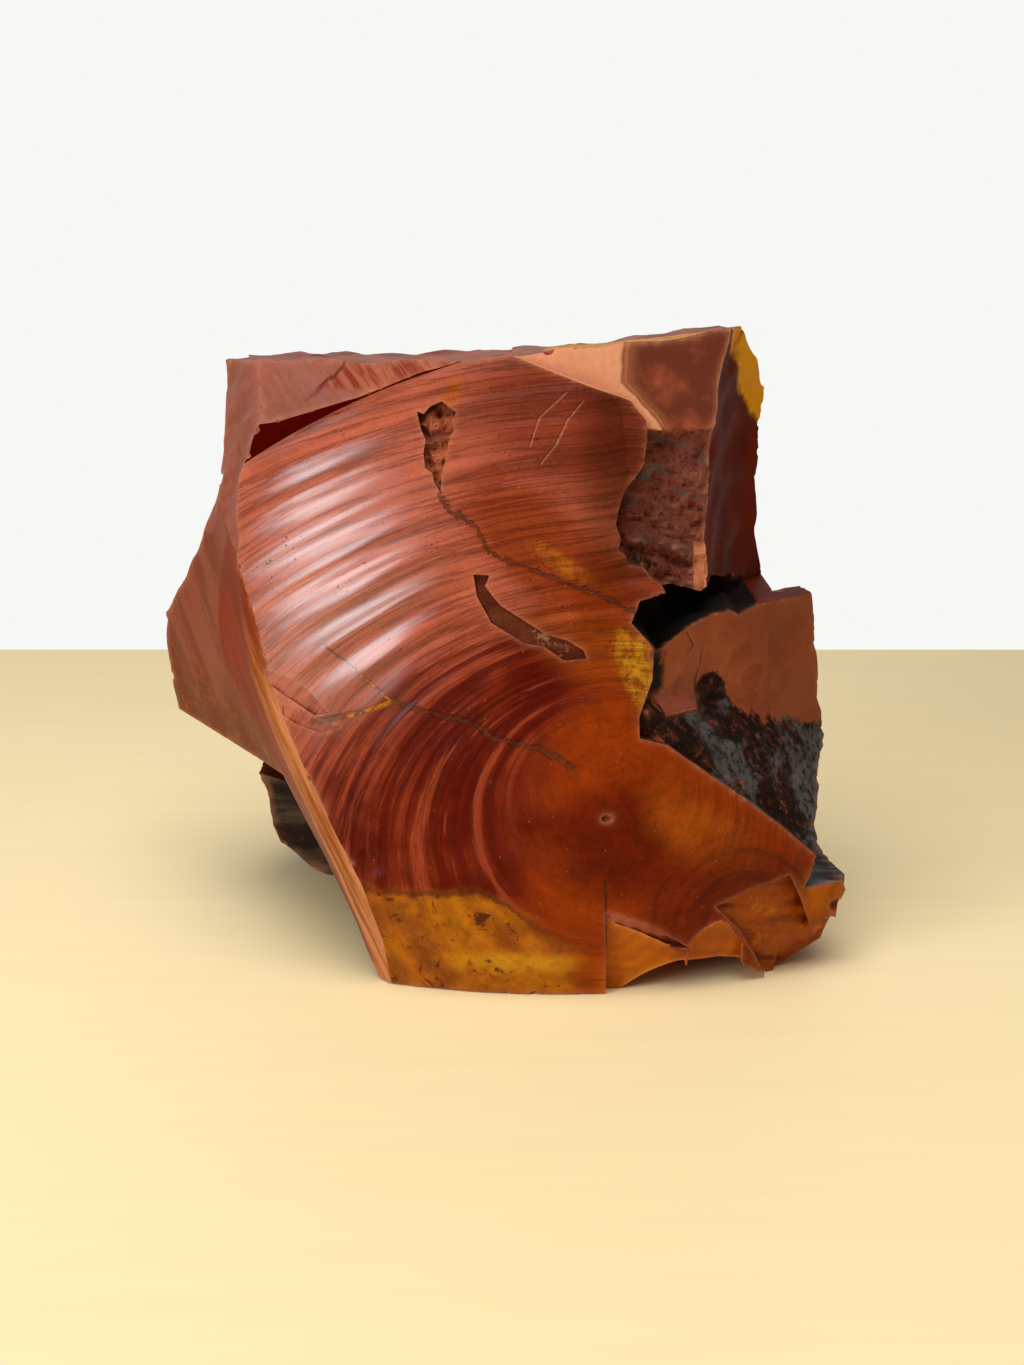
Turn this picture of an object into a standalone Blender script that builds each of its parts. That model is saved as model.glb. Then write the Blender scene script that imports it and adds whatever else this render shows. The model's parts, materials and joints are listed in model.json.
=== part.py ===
"""Rough mookaite jasper: one broken lump of stone, its glassy shell-like main break to the front (-Y).

The lump starts as a block. Each break that shaped the real stone is then taken off it in turn: flat
and hollow side breaks, the bulging rippled front, scooped flakes, a deep crack and pockets of rough
vein. Lengths are in millimetres and are scaled to metres where the shapes are made. +Z is up, and the
origin is on the table under the middle of the stone.
"""

import math

import bmesh
import bpy
from mathutils import Matrix, Vector, noise

MM = 0.001

# Driving dimensions, mm
STONE_WIDTH = 92.0
STONE_DEPTH = 62.0
STONE_HEIGHT = 83.0
BLOCK_MARGIN = 6.0
SLAB_REACH = 60.0
SLAB_WIDTH = 120.0
SIDE_RIPPLE_HEIGHT, SIDE_RIPPLE_LENGTH = 0.14, 9.0
SIDE_LUMPS, SIDE_LUMP_SCALE = 0.5, 0.07
SIDE_BLOW = Vector((1.3, 0.8))
SIDE_DISH_FLOOR = -1.5

# The bulge of the front break: its nearest point, and how fast it falls away sideways and upwards
BULGE_X, BULGE_Y, BULGE_Z = 6.0, -35.0, 34.0
BULGE_RADIUS_X, BULGE_RADIUS_Z = 70.0, 110.0

# The ripples of the front break spread up and left from one side of the stone, each ring a circle
# whose centre sinks as it grows
RING_X, RING_Z, RING_SINK = 12.3, 33.8, 0.55
RIPPLE_HEIGHT, RIPPLE_LENGTH = 0.36, 7.6
RIPPLE_START, RIPPLE_FULL = 12.0, 46.0
DRIFT_SCALE, DRIFT_TURN = 0.045, 3.0
SWELL_MEAN, SWELL_DRIFT = 0.65, 0.5

# The small rings at the foot of the right lobe, where the blow fell
BLOW_X, BLOW_Z, BLOW_REACH = 29.8, 9.2, 13.0
BLOW_RING_HEIGHT, BLOW_RING_LENGTH = 0.22, 2.6

# The undercut below the shelf left standing at the top left: it runs down and back from the shelf's ridge
SHELF_X, SHELF_Y, SHELF_Z = -30.5, -23.6, 72.0
SHELF_RISE, SHELF_UNDERCUT = 0.27, 0.95
UNDERCUT_OUTWARD = Vector((SHELF_UNDERCUT * SHELF_RISE, -1.0, -SHELF_UNDERCUT))

# The older flat break at the top right, and the rolled lip where the front break meets it
WALL_X, WALL_Y, WALL_Z = 25.0, -21.0, 66.0
WALL_LEAN_X, WALL_LEAN_Z = 0.21, 0.13
LIP_X, LIP_LOW_Z, LIP_HIGH_Z, LIP_ROLL, LIP_CLEARANCE = 7.0, 49.0, 57.0, 0.12, 0.4
VEIN_DROP, VEIN_GRAIN, VEIN_GRAIN_SCALE = 1.6, 0.7, 0.45
VEIN_LOW_Z, VEIN_HIGH_Z = 69.5, 71.5

# The step at the lower right, whose floor runs back from the front break's diagonal rim
STEP_X, STEP_Y, STEP_Z = 17.0, -30.0, 36.0
STEP_LEAN_X, STEP_LEAN_Z = 0.86, -0.05
STEP_RIM_DROP, STEP_RIM_SLOPE = 1.3, 1.5
STEP_RIM_X, STEP_RIM_Z, STEP_RIM_ACROSS, STEP_RIM_UP = 15.4, 39.9, 0.7, 0.71
RIND_LOW_Z, RIND_HIGH_Z, RIND_X, RIND_RISE = 30.0, 34.0, 30.0, 0.12
RIND_GRAIN, RIND_GRAIN_SCALE = 0.7, 0.4

# The crack between the upper and the lower break at the right, which runs back and out of the side
CRACK_Y, CRACK_X, CRACK_SLOPE, CRACK_OPEN_X = -24.0, 16.0, 1.3, 35.5

# The left side: a narrow strip beside the front's left rim, then a hollow that runs out to a bulge
STRIP_WIDTH, STRIP_SLOPE, STRIP_FULL_Z, STRIP_END_Z = 2.6, 1.0, 40.0, 58.0
HOLLOW_DEPTH, HOLLOW_FADE, HOLLOW_SLOPE = 7.0, 4.0, 1.12
LEFT_RIM = (
    (-2.0, -15.4), (6.6, -16.4), (14.6, -19.0), (20.5, -21.7), (26.3, -24.3), (33.5, -27.6),
    (40.0, -29.9), (48.0, -31.9), (54.2, -34.1), (58.0, -34.6), (64.0, -34.6),
)

CELL_FRONT = 2.2
CELL_SIDE = 4.4
CELL_CRACK = 4.0
CELL_ROUGH = 1.4
ROUGH_SCALE = 0.6
SEED_OFFSET = Vector((3.7, 9.1, 5.3))

# Corners that the breaks run through, mm
CORNERS = {
    "shelf_left": (-30.5, -23.6, 72.0),
    "shelf_right": (-13.5, -23.9, 76.6),
    "shelf_back": (-31.7, -17.5, 81.2),
    "rim_top": (-34.1, -18.0, 65.0),
    "bulge": (-47.2, 2.5, 41.0),
    "bulge_top": (-46.6, 1.0, 45.8),
    "bulge_low": (-46.8, 5.0, 28.0),
    "left_top": (-37.5, -4.0, 78.6),
    "left_neck": (-37.4, -12.0, 63.2),
    "left_back": (-36.0, 14.0, 70.0),
    "shoulder_back": (-35.0, 22.0, 58.0),
    "bulge_back": (-36.0, 25.0, 34.0),
    "crust_front": (-29.9, -18.0, 25.7),
    "crust_back": (-33.0, 10.0, 18.0),
    "strip_edge_low": (-19.2, -24.0, 4.3),
    "strip_edge_high": (-29.9, -18.0, 25.7),
    "hollow_deep": (-21.5, -10.5, 8.0),
    "foot_top": (-37.0, 12.0, 16.2),
    "foot_out": (-35.0, 14.0, 5.3),
    "foot_back": (-37.0, 26.0, 12.0),
    "foot_low": (-28.5, 16.0, 0.1),
    "foot_low_back": (-30.0, 28.0, 1.0),
    "ridge_top": (26.3, -18.5, 81.0),
    "ridge_low": (25.2, -20.0, 51.0),
    "right_edge": (33.4, 2.0, 60.0),
    "right_edge_top": (33.6, 3.2, 70.0),
    "right_edge_low": (33.7, 2.2, 49.0),
    "right_back": (24.0, 20.0, 60.0),
    "peak": (27.9, -8.0, 82.6),
    "ochre_out": (34.8, 4.5, 73.0),
    "ochre_back": (22.0, 12.0, 82.0),
    "scar_left_high": (-37.0, 14.0, 54.0),
    "scar_left_middle": (-12.0, 31.0, 44.0),
    "scar_left_low": (-31.0, 27.0, 12.0),
    "scar_right_high": (33.0, 7.0, 68.0),
    "scar_right_middle": (12.0, 27.5, 60.0),
    "scar_right_low": (36.0, 19.0, 42.0),
    "top_left": (-31.7, -17.0, 79.3),
    "top_front": (-1.4, -25.0, 80.2),
    "top_back_left": (-14.0, 6.0, 78.2),
    "top_right": (26.2, -18.5, 82.7),
    "top_back_right": (16.6, 2.0, 80.5),
    "crest_left": (-26.0, 10.0, 77.6),
    "crest_right": (24.0, 9.0, 80.0),
    "back_high": (0.0, 23.0, 58.0),
    "back_left": (-27.0, 28.0, 24.0),
    "back_right": (20.0, 29.0, 22.0),
    "back_upper": (2.0, 25.0, 56.0),
    "step_top": (39.2, -10.0, 47.4),
    "step_out": (42.6, -9.0, 28.5),
    "step_back": (38.0, 18.0, 38.0),
    "step_low": (38.2, -17.0, 15.5),
    "step_low_back": (38.8, 8.0, 15.0),
    "heel_top": (41.0, 10.0, 44.0),
    "heel_out": (42.0, 8.0, 22.0),
    "heel_back": (28.0, 27.0, 28.0),
    "lobe_out": (42.9, -20.0, 11.0),
    "lobe_low": (42.0, -21.0, 3.8),
    "lobe_back": (41.0, -2.0, 12.0),
    "lobe_toe": (36.0, -22.0, 0.8),
    "lobe_toe_back": (37.0, 0.0, 0.8),
    "under_back_left": (-28.0, 27.5, 7.0),
    "under_back_right": (24.0, 28.5, 8.0),
    "under_back_middle": (0.0, 23.0, 0.0),
}


def smooth_step(low, high, value):
    t = min(1.0, max(0.0, (value - low) / (high - low)))
    return t * t * (3.0 - 2.0 * t)


def ring_radius(x, z):
    """Which ring of the front break a point lies on, as that ring's radius."""
    across, down = x - RING_X, RING_Z - z
    spread = 1.0 - RING_SINK**2
    reach = (RING_SINK * down) ** 2 + spread * (across**2 + down**2)
    return (math.sqrt(reach) - RING_SINK * down) / spread


def ripple(x, z):
    """Height of the front break's ripples, mm, out of the stone."""
    ring = ring_radius(x, z)
    drift = noise.noise(Vector((x, z, 0.0)) * DRIFT_SCALE + SEED_OFFSET)
    swell = smooth_step(RIPPLE_START, RIPPLE_FULL, ring) * (SWELL_MEAN + SWELL_DRIFT * drift)
    turn = ring + DRIFT_TURN * drift
    return swell * RIPPLE_HEIGHT * math.sin(math.tau * turn / RIPPLE_LENGTH)


def blow_rings(x, z):
    """Height of the small rings round the blow, mm."""
    reach = math.hypot(x - BLOW_X, z - BLOW_Z)
    fade = 1.0 - smooth_step(0.6 * BLOW_REACH, BLOW_REACH, reach)
    return fade * BLOW_RING_HEIGHT * math.sin(math.tau * reach / BLOW_RING_LENGTH)


def wall_depth(x, z):
    """Where the flat break at the top right stands, in y."""
    return WALL_Y + WALL_LEAN_X * (x - WALL_X) + WALL_LEAN_Z * (z - WALL_Z)


def front_depth(x, z):
    """Where the front break stands, in y: a rippled bulge with a rolled lip."""
    depth = BULGE_Y
    depth += (x - BULGE_X) ** 2 / (2.0 * BULGE_RADIUS_X)
    depth += (z - BULGE_Z) ** 2 / (2.0 * BULGE_RADIUS_Z)
    depth -= ripple(x, z) + blow_rings(x, z)
    rolled = smooth_step(LIP_LOW_Z, LIP_HIGH_Z, z) * LIP_ROLL * max(0.0, x - LIP_X) ** 2
    if rolled > 0.0:
        depth = min(depth + rolled, max(depth, wall_depth(x, z) - LIP_CLEARANCE))
    return depth


def step_floor(x, z):
    """The lower right step: a break that faces right, and turns up to the front break's rim."""
    above_rim = max(0.0, STEP_RIM_ACROSS * (x - STEP_RIM_X) + STEP_RIM_UP * (z - STEP_RIM_Z))
    flat = STEP_Y + STEP_LEAN_X * (x - STEP_X) + STEP_LEAN_Z * (z - STEP_Z)
    near_rim = front_depth(x, z) + STEP_RIM_DROP + STEP_RIM_SLOPE * above_rim
    rough = smooth_step(RIND_HIGH_Z, RIND_LOW_Z, z - RIND_RISE * (x - RIND_X))
    grain = RIND_GRAIN * noise.noise(Vector((x, z, 0.0)) * RIND_GRAIN_SCALE + SEED_OFFSET)
    return min(flat, near_rim) + rough * grain


def left_rim(z):
    """Where the left rim of the front break lies, in x."""
    for (low_z, low_x), (high_z, high_x) in zip(LEFT_RIM, LEFT_RIM[1:]):
        if z <= high_z:
            break
    return low_x + (high_x - low_x) * (z - low_z) / (high_z - low_z)


def left_floor(x, z):
    """The left side: a strip beside the rim, then a hollow that is steepest beside the strip."""
    rim = left_rim(z)
    width = STRIP_WIDTH * smooth_step(STRIP_END_Z, STRIP_FULL_Z, z)
    out = rim - x
    past = max(0.0, out - width)
    hollow = HOLLOW_DEPTH * (1.0 - math.exp(-past / HOLLOW_FADE)) + HOLLOW_SLOPE * past
    return front_depth(rim, z) + STRIP_SLOPE * min(out, width) + hollow


def crack_floor(x, z):
    """The crack runs back further and further to the right, and out through the right side."""
    if x > CRACK_OPEN_X:
        return STONE_DEPTH
    return CRACK_Y + CRACK_SLOPE * max(0.0, x - CRACK_X)


def new_object(name, mesh_maker, collection):
    """An object whose mesh is made by a function that fills a bmesh in millimetres."""
    mesh = bpy.data.meshes.new(name)
    bm = bmesh.new()
    mesh_maker(bm)
    bmesh.ops.triangulate(bm, faces=bm.faces[:])
    bmesh.ops.recalc_face_normals(bm, faces=bm.faces[:])
    bmesh.ops.scale(bm, vec=(MM, MM, MM), verts=bm.verts[:])
    bm.to_mesh(mesh)
    bm.free()
    made = bpy.data.objects.new(name, mesh)
    collection.objects.link(made)
    return made


def thicken(bm, away):
    """Turns an open sheet into a closed slab, by drawing a copy of it out along a vector."""
    drawn = bmesh.ops.extrude_face_region(bm, geom=bm.faces[:] + bm.edges[:] + bm.verts[:])
    verts = [item for item in drawn["geom"] if isinstance(item, bmesh.types.BMVert)]
    bmesh.ops.translate(bm, vec=away, verts=verts)


def keep_side(bm, point, towards):
    """Cuts a closed shape with a plane, keeps the side that a vector points to and closes the cut."""
    cut = bmesh.ops.bisect_plane(
        bm,
        geom=bm.verts[:] + bm.edges[:] + bm.faces[:],
        plane_co=point,
        plane_no=towards,
        clear_inner=True,
    )
    rim = [item for item in cut["geom_cut"] if isinstance(item, bmesh.types.BMEdge)]
    bmesh.ops.edgenet_fill(bm, edges=rim)


def above(z):
    return (0.0, 0.0, z), (0.0, 0.0, 1.0)


def below(z):
    return (0.0, 0.0, z), (0.0, 0.0, -1.0)


def break_frame(corners):
    """Centre, turn and reach of a break through three corners. Its own Z looks out of the stone."""
    a, b, c = (Vector(CORNERS[name]) for name in corners)
    centre = (a + b + c) / 3.0
    outward = (b - a).cross(c - a).normalized()
    if outward.dot(centre - Vector((0.0, 0.0, 0.5 * STONE_HEIGHT))) < 0.0:
        outward.negate()
    along = (b - a).normalized()
    across = outward.cross(along)
    reach = sum((corner - centre).length for corner in (a, b, c)) / 3.0
    return centre, Matrix((along, across, outward)).transposed(), reach


def outside(corners):
    """The side of the plane through three corners that faces out of the stone."""
    centre, turn, reach = break_frame(corners)
    return centre, turn.col[2].copy()


def side_break(name, corners, hollow, keep, collection):
    """A broken side: a slab whose inner face is a shallow dish with faint ripples."""
    centre, turn, reach = break_frame(corners)
    half = 0.5 * SLAB_WIDTH
    blow = SIDE_BLOW * reach

    def fill(bm):
        steps = round(SLAB_WIDTH / CELL_SIDE)
        bmesh.ops.create_grid(bm, x_segments=steps, y_segments=steps, size=half)
        for vert in bm.verts:
            u, v = vert.co.x, vert.co.y
            dish = hollow * max(SIDE_DISH_FLOOR, 1.0 - (u * u + v * v) / reach**2)
            ring = (Vector((u, v)) - blow).length
            ripples = SIDE_RIPPLE_HEIGHT * math.sin(math.tau * ring / SIDE_RIPPLE_LENGTH)
            lumps = SIDE_LUMPS * noise.noise(vert.co * SIDE_LUMP_SCALE + centre)
            vert.co.z = -dish + ripples + lumps
        thicken(bm, Vector((0.0, 0.0, SLAB_REACH)))
        bmesh.ops.rotate(bm, cent=Vector(), matrix=turn, verts=bm.verts[:])
        bmesh.ops.translate(bm, vec=centre, verts=bm.verts[:])
        for point, towards in keep:
            keep_side(bm, Vector(point), Vector(towards))

    return new_object(name, fill, collection)


def wedge(name, keep, collection):
    """A recess between flat breaks: a block cut down to what lies on the given side of each plane."""

    def fill(bm):
        bmesh.ops.create_cube(bm, size=2.0 * SLAB_WIDTH)
        for point, towards in keep:
            keep_side(bm, Vector(point), Vector(towards))

    return new_object(name, fill, collection)


def front_break(collection):
    """The rippled front: a slab in front of the stone whose back is the front break."""
    width = STONE_WIDTH + 2.0 * BLOCK_MARGIN
    height = STONE_HEIGHT + 2.0 * BLOCK_MARGIN

    def fill(bm):
        bmesh.ops.create_grid(
            bm,
            x_segments=round(width / CELL_FRONT),
            y_segments=round(height / CELL_FRONT),
            size=0.5,
        )
        for vert in bm.verts:
            x = vert.co.x * width
            z = vert.co.y * height + 0.5 * STONE_HEIGHT
            vert.co = (x, front_depth(x, z), z)
        thicken(bm, Vector((0.0, -SLAB_REACH, 0.0)))
        keep_side(bm, Vector((SHELF_X, SHELF_Y, SHELF_Z)), UNDERCUT_OUTWARD)

    return new_object("front_break", fill, collection)


def pocket(name, outline, floor, collection, cell=CELL_FRONT):
    """A recess with upright walls along an outline in x and z, and a floor given as a depth in y."""
    xs = [x for x, z in outline]
    zs = [z for x, z in outline]
    width, height = max(xs) - min(xs) + 2.0 * cell, max(zs) - min(zs) + 2.0 * cell
    middle_x, middle_z = 0.5 * (max(xs) + min(xs)), 0.5 * (max(zs) + min(zs))

    def fill_sheet(bm):
        bmesh.ops.create_grid(
            bm, x_segments=round(width / cell), y_segments=round(height / cell), size=0.5
        )
        for vert in bm.verts:
            x, z = vert.co.x * width + middle_x, vert.co.y * height + middle_z
            vert.co = (x, floor(x, z), z)
        thicken(bm, Vector((0.0, -STONE_DEPTH, 0.0)))

    def fill_prism(bm):
        ring = [bm.verts.new((x, -1.5 * STONE_DEPTH, z)) for x, z in outline]
        face = bm.faces.new(ring)
        drawn = bmesh.ops.extrude_face_region(bm, geom=[face])
        verts = [item for item in drawn["geom"] if isinstance(item, bmesh.types.BMVert)]
        bmesh.ops.translate(bm, vec=Vector((0.0, 3.0 * STONE_DEPTH, 0.0)), verts=verts)

    sheet = new_object(name, fill_sheet, collection)
    prism = new_object(name + "_outline", fill_prism, collection)
    trim = sheet.modifiers.new("outline", "BOOLEAN")
    trim.operation = "INTERSECT"
    trim.object = prism
    return sheet


def scoop(name, centre, radii, collection):
    """A flake scar: a stretched ball that is taken out of the stone."""

    def fill(bm):
        bmesh.ops.create_icosphere(bm, subdivisions=4, radius=1.0)
        bmesh.ops.scale(bm, vec=radii, verts=bm.verts[:])
        bmesh.ops.translate(bm, vec=centre, verts=bm.verts[:])

    return new_object(name, fill, collection)


def wall_floor(x, z):
    """The flat break at the top right, sunk a little lower where its rough vein lies."""
    rough = smooth_step(VEIN_HIGH_Z, VEIN_LOW_Z, z)
    grain = VEIN_GRAIN * noise.noise(Vector((x, z, 0.0)) * VEIN_GRAIN_SCALE + SEED_OFFSET)
    return wall_depth(x, z) + rough * (VEIN_DROP + grain)


def rough_floor(depth, grain):
    """A pocket floor at one depth below the front break, with grain."""

    def floor(x, z):
        lumps = noise.noise(Vector((x, z, 0.0)) * ROUGH_SCALE + SEED_OFFSET)
        return front_depth(x, z) + depth + grain * lumps

    return floor


WALL_OUTLINE = (
    (-2.0, 81.0), (10.5, 76.2), (14.4, 74.6), (16.2, 71.7), (15.4, 67.2), (12.8, 63.6),
    (12.0, 59.0), (13.6, 54.4), (16.0, 51.6), (21.0, 49.5), (50.0, 49.5), (50.0, 92.0),
    (-2.0, 92.0),
)
STEP_OUTLINE = (
    (17.2, 50.0), (16.8, 42.5), (15.3, 38.0), (15.4, 35.4), (18.8, 34.4), (23.2, 31.0),
    (28.4, 27.0), (34.0, 22.2), (39.6, 16.6), (42.5, 13.9), (44.0, 10.0), (54.0, 10.0),
    (54.0, 50.0),
)
CRACK_OUTLINE = (
    (14.2, 49.4), (15.4, 51.6), (20.0, 52.0), (23.6, 50.9), (25.2, 52.2), (28.1, 50.6),
    (33.4, 48.4), (36.0, 48.6), (36.0, 92.0), (56.0, 92.0), (56.0, 47.0), (40.7, 47.4),
    (33.7, 47.0), (26.5, 48.0), (22.0, 47.8), (17.6, 45.0), (16.4, 47.0),
)
LEFT_OUTLINE = tuple((x, z) for z, x in LEFT_RIM) + ((-38.0, 64.0), (-60.0, 64.0), (-60.0, -2.0))
PIT_DEPTH, PIT_GRAIN = 1.6, 0.8
PIT_OUTLINE = (
    (-9.6, 73.6), (-7.6, 74.4), (-6.8, 71.8), (-7.6, 67.4), (-8.2, 64.4), (-9.2, 65.2),
    (-11.2, 68.6), (-10.6, 71.2),
)
GRAIN_DEPTH, GRAIN_LUMPS = 0.5, 0.5
GRAIN_OUTLINE = (
    (-5.4, 56.4), (-1.6, 55.6), (0.8, 52.0), (5.4, 49.2), (9.4, 46.6), (5.8, 45.2),
    (1.6, 46.6), (-2.2, 49.6), (-4.4, 52.6),
)

CRUST = ("bulge_low", "crust_front", "crust_back")
BEHIND_STRIP = ("strip_edge_low", "strip_edge_high", "hollow_deep")
LEFT_PART = ((0.0, 0.0, 0.0), (-1.0, 0.0, 0.0))
RIGHT_PART = ((-4.0, 0.0, 0.0), (1.0, 0.0, 0.0))
NOTCH_FLOOR = ((-37.0, 12.0, 16.4), (0.25, 0.0, 1.0))
FOOT_FRONT = ((-33.0, 14.0, 4.0), (-0.3, -1.0, -0.25))
BEHIND_FOOT_FRONT = ((-33.0, 11.0, 4.0), (0.3, 1.0, 0.25))
LEFT_OF_FOOT = ((-26.0, 0.0, 0.0), (-1.0, 0.0, 0.0))

SIDES = (
    ("shelf", ("shelf_left", "shelf_right", "shelf_back"), 0.5, ()),
    ("upper_left", ("top_left", "rim_top", "left_top"), 0.2, (above(52.0),)),
    ("left_back", ("left_top", "left_neck", "left_back"), 0.6, (above(63.0),)),
    ("shoulder", ("left_neck", "bulge_top", "shoulder_back"), 1.0, (below(64.0),)),
    ("bulge_back", ("bulge", "bulge_low", "bulge_back"), 1.0, ()),
    ("crust", CRUST, 0.3, (NOTCH_FLOOR, BEHIND_FOOT_FRONT, LEFT_OF_FOOT)),
    ("foot_side", ("foot_top", "foot_out", "foot_back"), 0.2, (below(20.0),)),
    ("foot_low", ("foot_out", "foot_low", "foot_low_back"), 0.0, ()),
    ("right_upper", ("ridge_top", "ridge_low", "right_edge"), 1.8, (above(48.5),)),
    ("right_back", ("right_edge_top", "right_edge_low", "right_back"), 0.8, (above(47.5),)),
    ("ochre_corner", ("peak", "ochre_out", "ochre_back"), 0.1, ()),
    ("top_left_side", ("top_left", "top_front", "top_back_left"), 0.3, (LEFT_PART,)),
    ("top_right_side", ("top_front", "top_right", "top_back_right"), 0.3, (RIGHT_PART,)),
    ("crest", ("crest_left", "crest_right", "back_high"), 1.6, ()),
    ("back", ("back_left", "back_right", "back_upper"), 2.4, ()),
    ("scar_left", ("scar_left_high", "scar_left_middle", "scar_left_low"), 1.5, ()),
    ("scar_right", ("scar_right_high", "scar_right_middle", "scar_right_low"), 1.5, ()),
    ("step_side", ("step_top", "step_out", "step_back"), 0.4, (below(48.5), above(14.5))),
    ("step_under", ("step_out", "step_low", "step_low_back"), 0.5, (above(13.0),)),
    ("heel", ("heel_top", "heel_out", "heel_back"), 1.8, (below(49.0),)),
    ("lobe_side", ("lobe_out", "lobe_low", "lobe_back"), 0.2, (below(16.5),)),
    ("lobe_under", ("lobe_low", "lobe_toe", "lobe_toe_back"), 0.2, ()),
    ("under_back", ("under_back_left", "under_back_right", "under_back_middle"), 0.6, ()),
)
SCOOPS = (
    ("under_right", (23.6, -22.0, -9.0), (14.5, 28.0, 15.4)),
)
BLOCK_X = -1.5


def block(collection):
    """The lump before its breaks: a plain block that stands on the table."""

    def fill(bm):
        bmesh.ops.create_cube(bm, size=1.0)
        width = STONE_WIDTH + BLOCK_MARGIN
        depth = STONE_DEPTH + 4.0 * BLOCK_MARGIN
        height = STONE_HEIGHT + BLOCK_MARGIN
        bmesh.ops.scale(bm, vec=(width, depth, height), verts=bm.verts[:])
        bmesh.ops.translate(bm, vec=(BLOCK_X, 0.0, 0.5 * height), verts=bm.verts[:])

    return new_object("mookaite_stone", fill, collection)


def jasper_material():
    """Red-brown jasper with a waxy gloss."""
    made = bpy.data.materials.new("jasper")
    made.use_nodes = True
    shader = made.node_tree.nodes["Principled BSDF"]
    shader.inputs["Base Color"].default_value = (0.19, 0.035, 0.012, 1.0)
    shader.inputs["Roughness"].default_value = 0.35
    shader.inputs["Metallic"].default_value = 0.0
    return made


def breaks_in_order(collection):
    """Every break, in the order in which it is taken off the block."""
    made = [front_break(collection)]
    made.append(pocket("wall", WALL_OUTLINE, wall_floor, collection))
    made.append(pocket("step", STEP_OUTLINE, step_floor, collection))
    made.append(pocket("left_side", LEFT_OUTLINE, left_floor, collection))
    made.extend(side_break(*side, collection) for side in SIDES)
    made.extend(scoop(*flake, collection) for flake in SCOOPS)
    hollow_sides = (outside(CRUST), outside(BEHIND_STRIP), FOOT_FRONT)
    made.append(wedge("left_hollow", hollow_sides, collection))
    made.append(pocket("crack", CRACK_OUTLINE, crack_floor, collection, CELL_CRACK))
    pit_floor = rough_floor(PIT_DEPTH, PIT_GRAIN)
    made.append(pocket("pit", PIT_OUTLINE, pit_floor, collection, CELL_ROUGH))
    grain_floor = rough_floor(GRAIN_DEPTH, GRAIN_LUMPS)
    made.append(pocket("grain", GRAIN_OUTLINE, grain_floor, collection, CELL_ROUGH))
    return made


def main():
    for old in list(bpy.data.objects):
        bpy.data.objects.remove(old)
    scene = bpy.context.scene.collection
    stone_collection = bpy.data.collections.new("rough_mookaite")
    cutter_collection = bpy.data.collections.new("breaks")
    scene.children.link(stone_collection)
    scene.children.link(cutter_collection)
    stone = block(stone_collection)
    stone.data.materials.append(jasper_material())
    for cutter in breaks_in_order(cutter_collection):
        taken = stone.modifiers.new(cutter.name, "BOOLEAN")
        taken.operation = "DIFFERENCE"
        taken.object = cutter
    for helper in cutter_collection.objects:
        helper.hide_render = True
        helper.display_type = "WIRE"


main()
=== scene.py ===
"""The looks of a rough mookaite jasper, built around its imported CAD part.

The lump is made again from the same breaks as the CAD solid, with far finer faces, so that its
ripples, flakes, chips and grain are real relief. Every break keeps its own finish. Lengths are in
millimetres until a shape is finished, and in metres after that.
"""

import json
import math
import random

import bmesh
import bpy
from mathutils import Matrix, Vector, kdtree, noise

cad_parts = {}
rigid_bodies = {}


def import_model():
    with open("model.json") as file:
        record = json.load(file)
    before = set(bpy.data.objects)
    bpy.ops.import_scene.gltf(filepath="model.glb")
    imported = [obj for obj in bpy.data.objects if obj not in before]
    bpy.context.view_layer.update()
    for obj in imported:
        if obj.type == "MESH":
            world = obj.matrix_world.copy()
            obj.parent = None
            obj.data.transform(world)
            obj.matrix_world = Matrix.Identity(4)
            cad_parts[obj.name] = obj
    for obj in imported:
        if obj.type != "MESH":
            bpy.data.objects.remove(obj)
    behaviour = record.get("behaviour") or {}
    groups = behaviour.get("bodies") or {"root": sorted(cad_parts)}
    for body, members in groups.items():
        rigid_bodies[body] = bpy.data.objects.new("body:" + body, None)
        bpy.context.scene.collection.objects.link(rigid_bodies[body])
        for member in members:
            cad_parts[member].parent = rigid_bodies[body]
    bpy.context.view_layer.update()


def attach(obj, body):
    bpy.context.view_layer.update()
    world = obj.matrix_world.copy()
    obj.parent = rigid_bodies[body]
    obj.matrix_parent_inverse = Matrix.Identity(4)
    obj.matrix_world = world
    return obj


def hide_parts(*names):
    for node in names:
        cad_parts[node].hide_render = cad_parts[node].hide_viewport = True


bl_info = {
    "name": "Rough Mookaite Jasper",
    "version": (1, 0, 0),
    "blender": (4, 5, 0),
    "location": "View3D > Sidebar > Mookaite",
    "description": "Builds a broken lump of rough mookaite jasper and the table it stands on",
    "category": "Object",
}

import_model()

MM = 0.001
STONE_HEIGHT = 83.0
STONE_DEPTH = 62.0
BLOCK_SIZE, BLOCK_X = (98.0, 86.0, 89.0), -1.5
FRONT_WIDTH, FRONT_HEIGHT = 104.0, 95.0
SLAB_WIDTH, SLAB_REACH = 120.0, 60.0
SEED_OFFSET = Vector((3.7, 9.1, 5.3))

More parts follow.
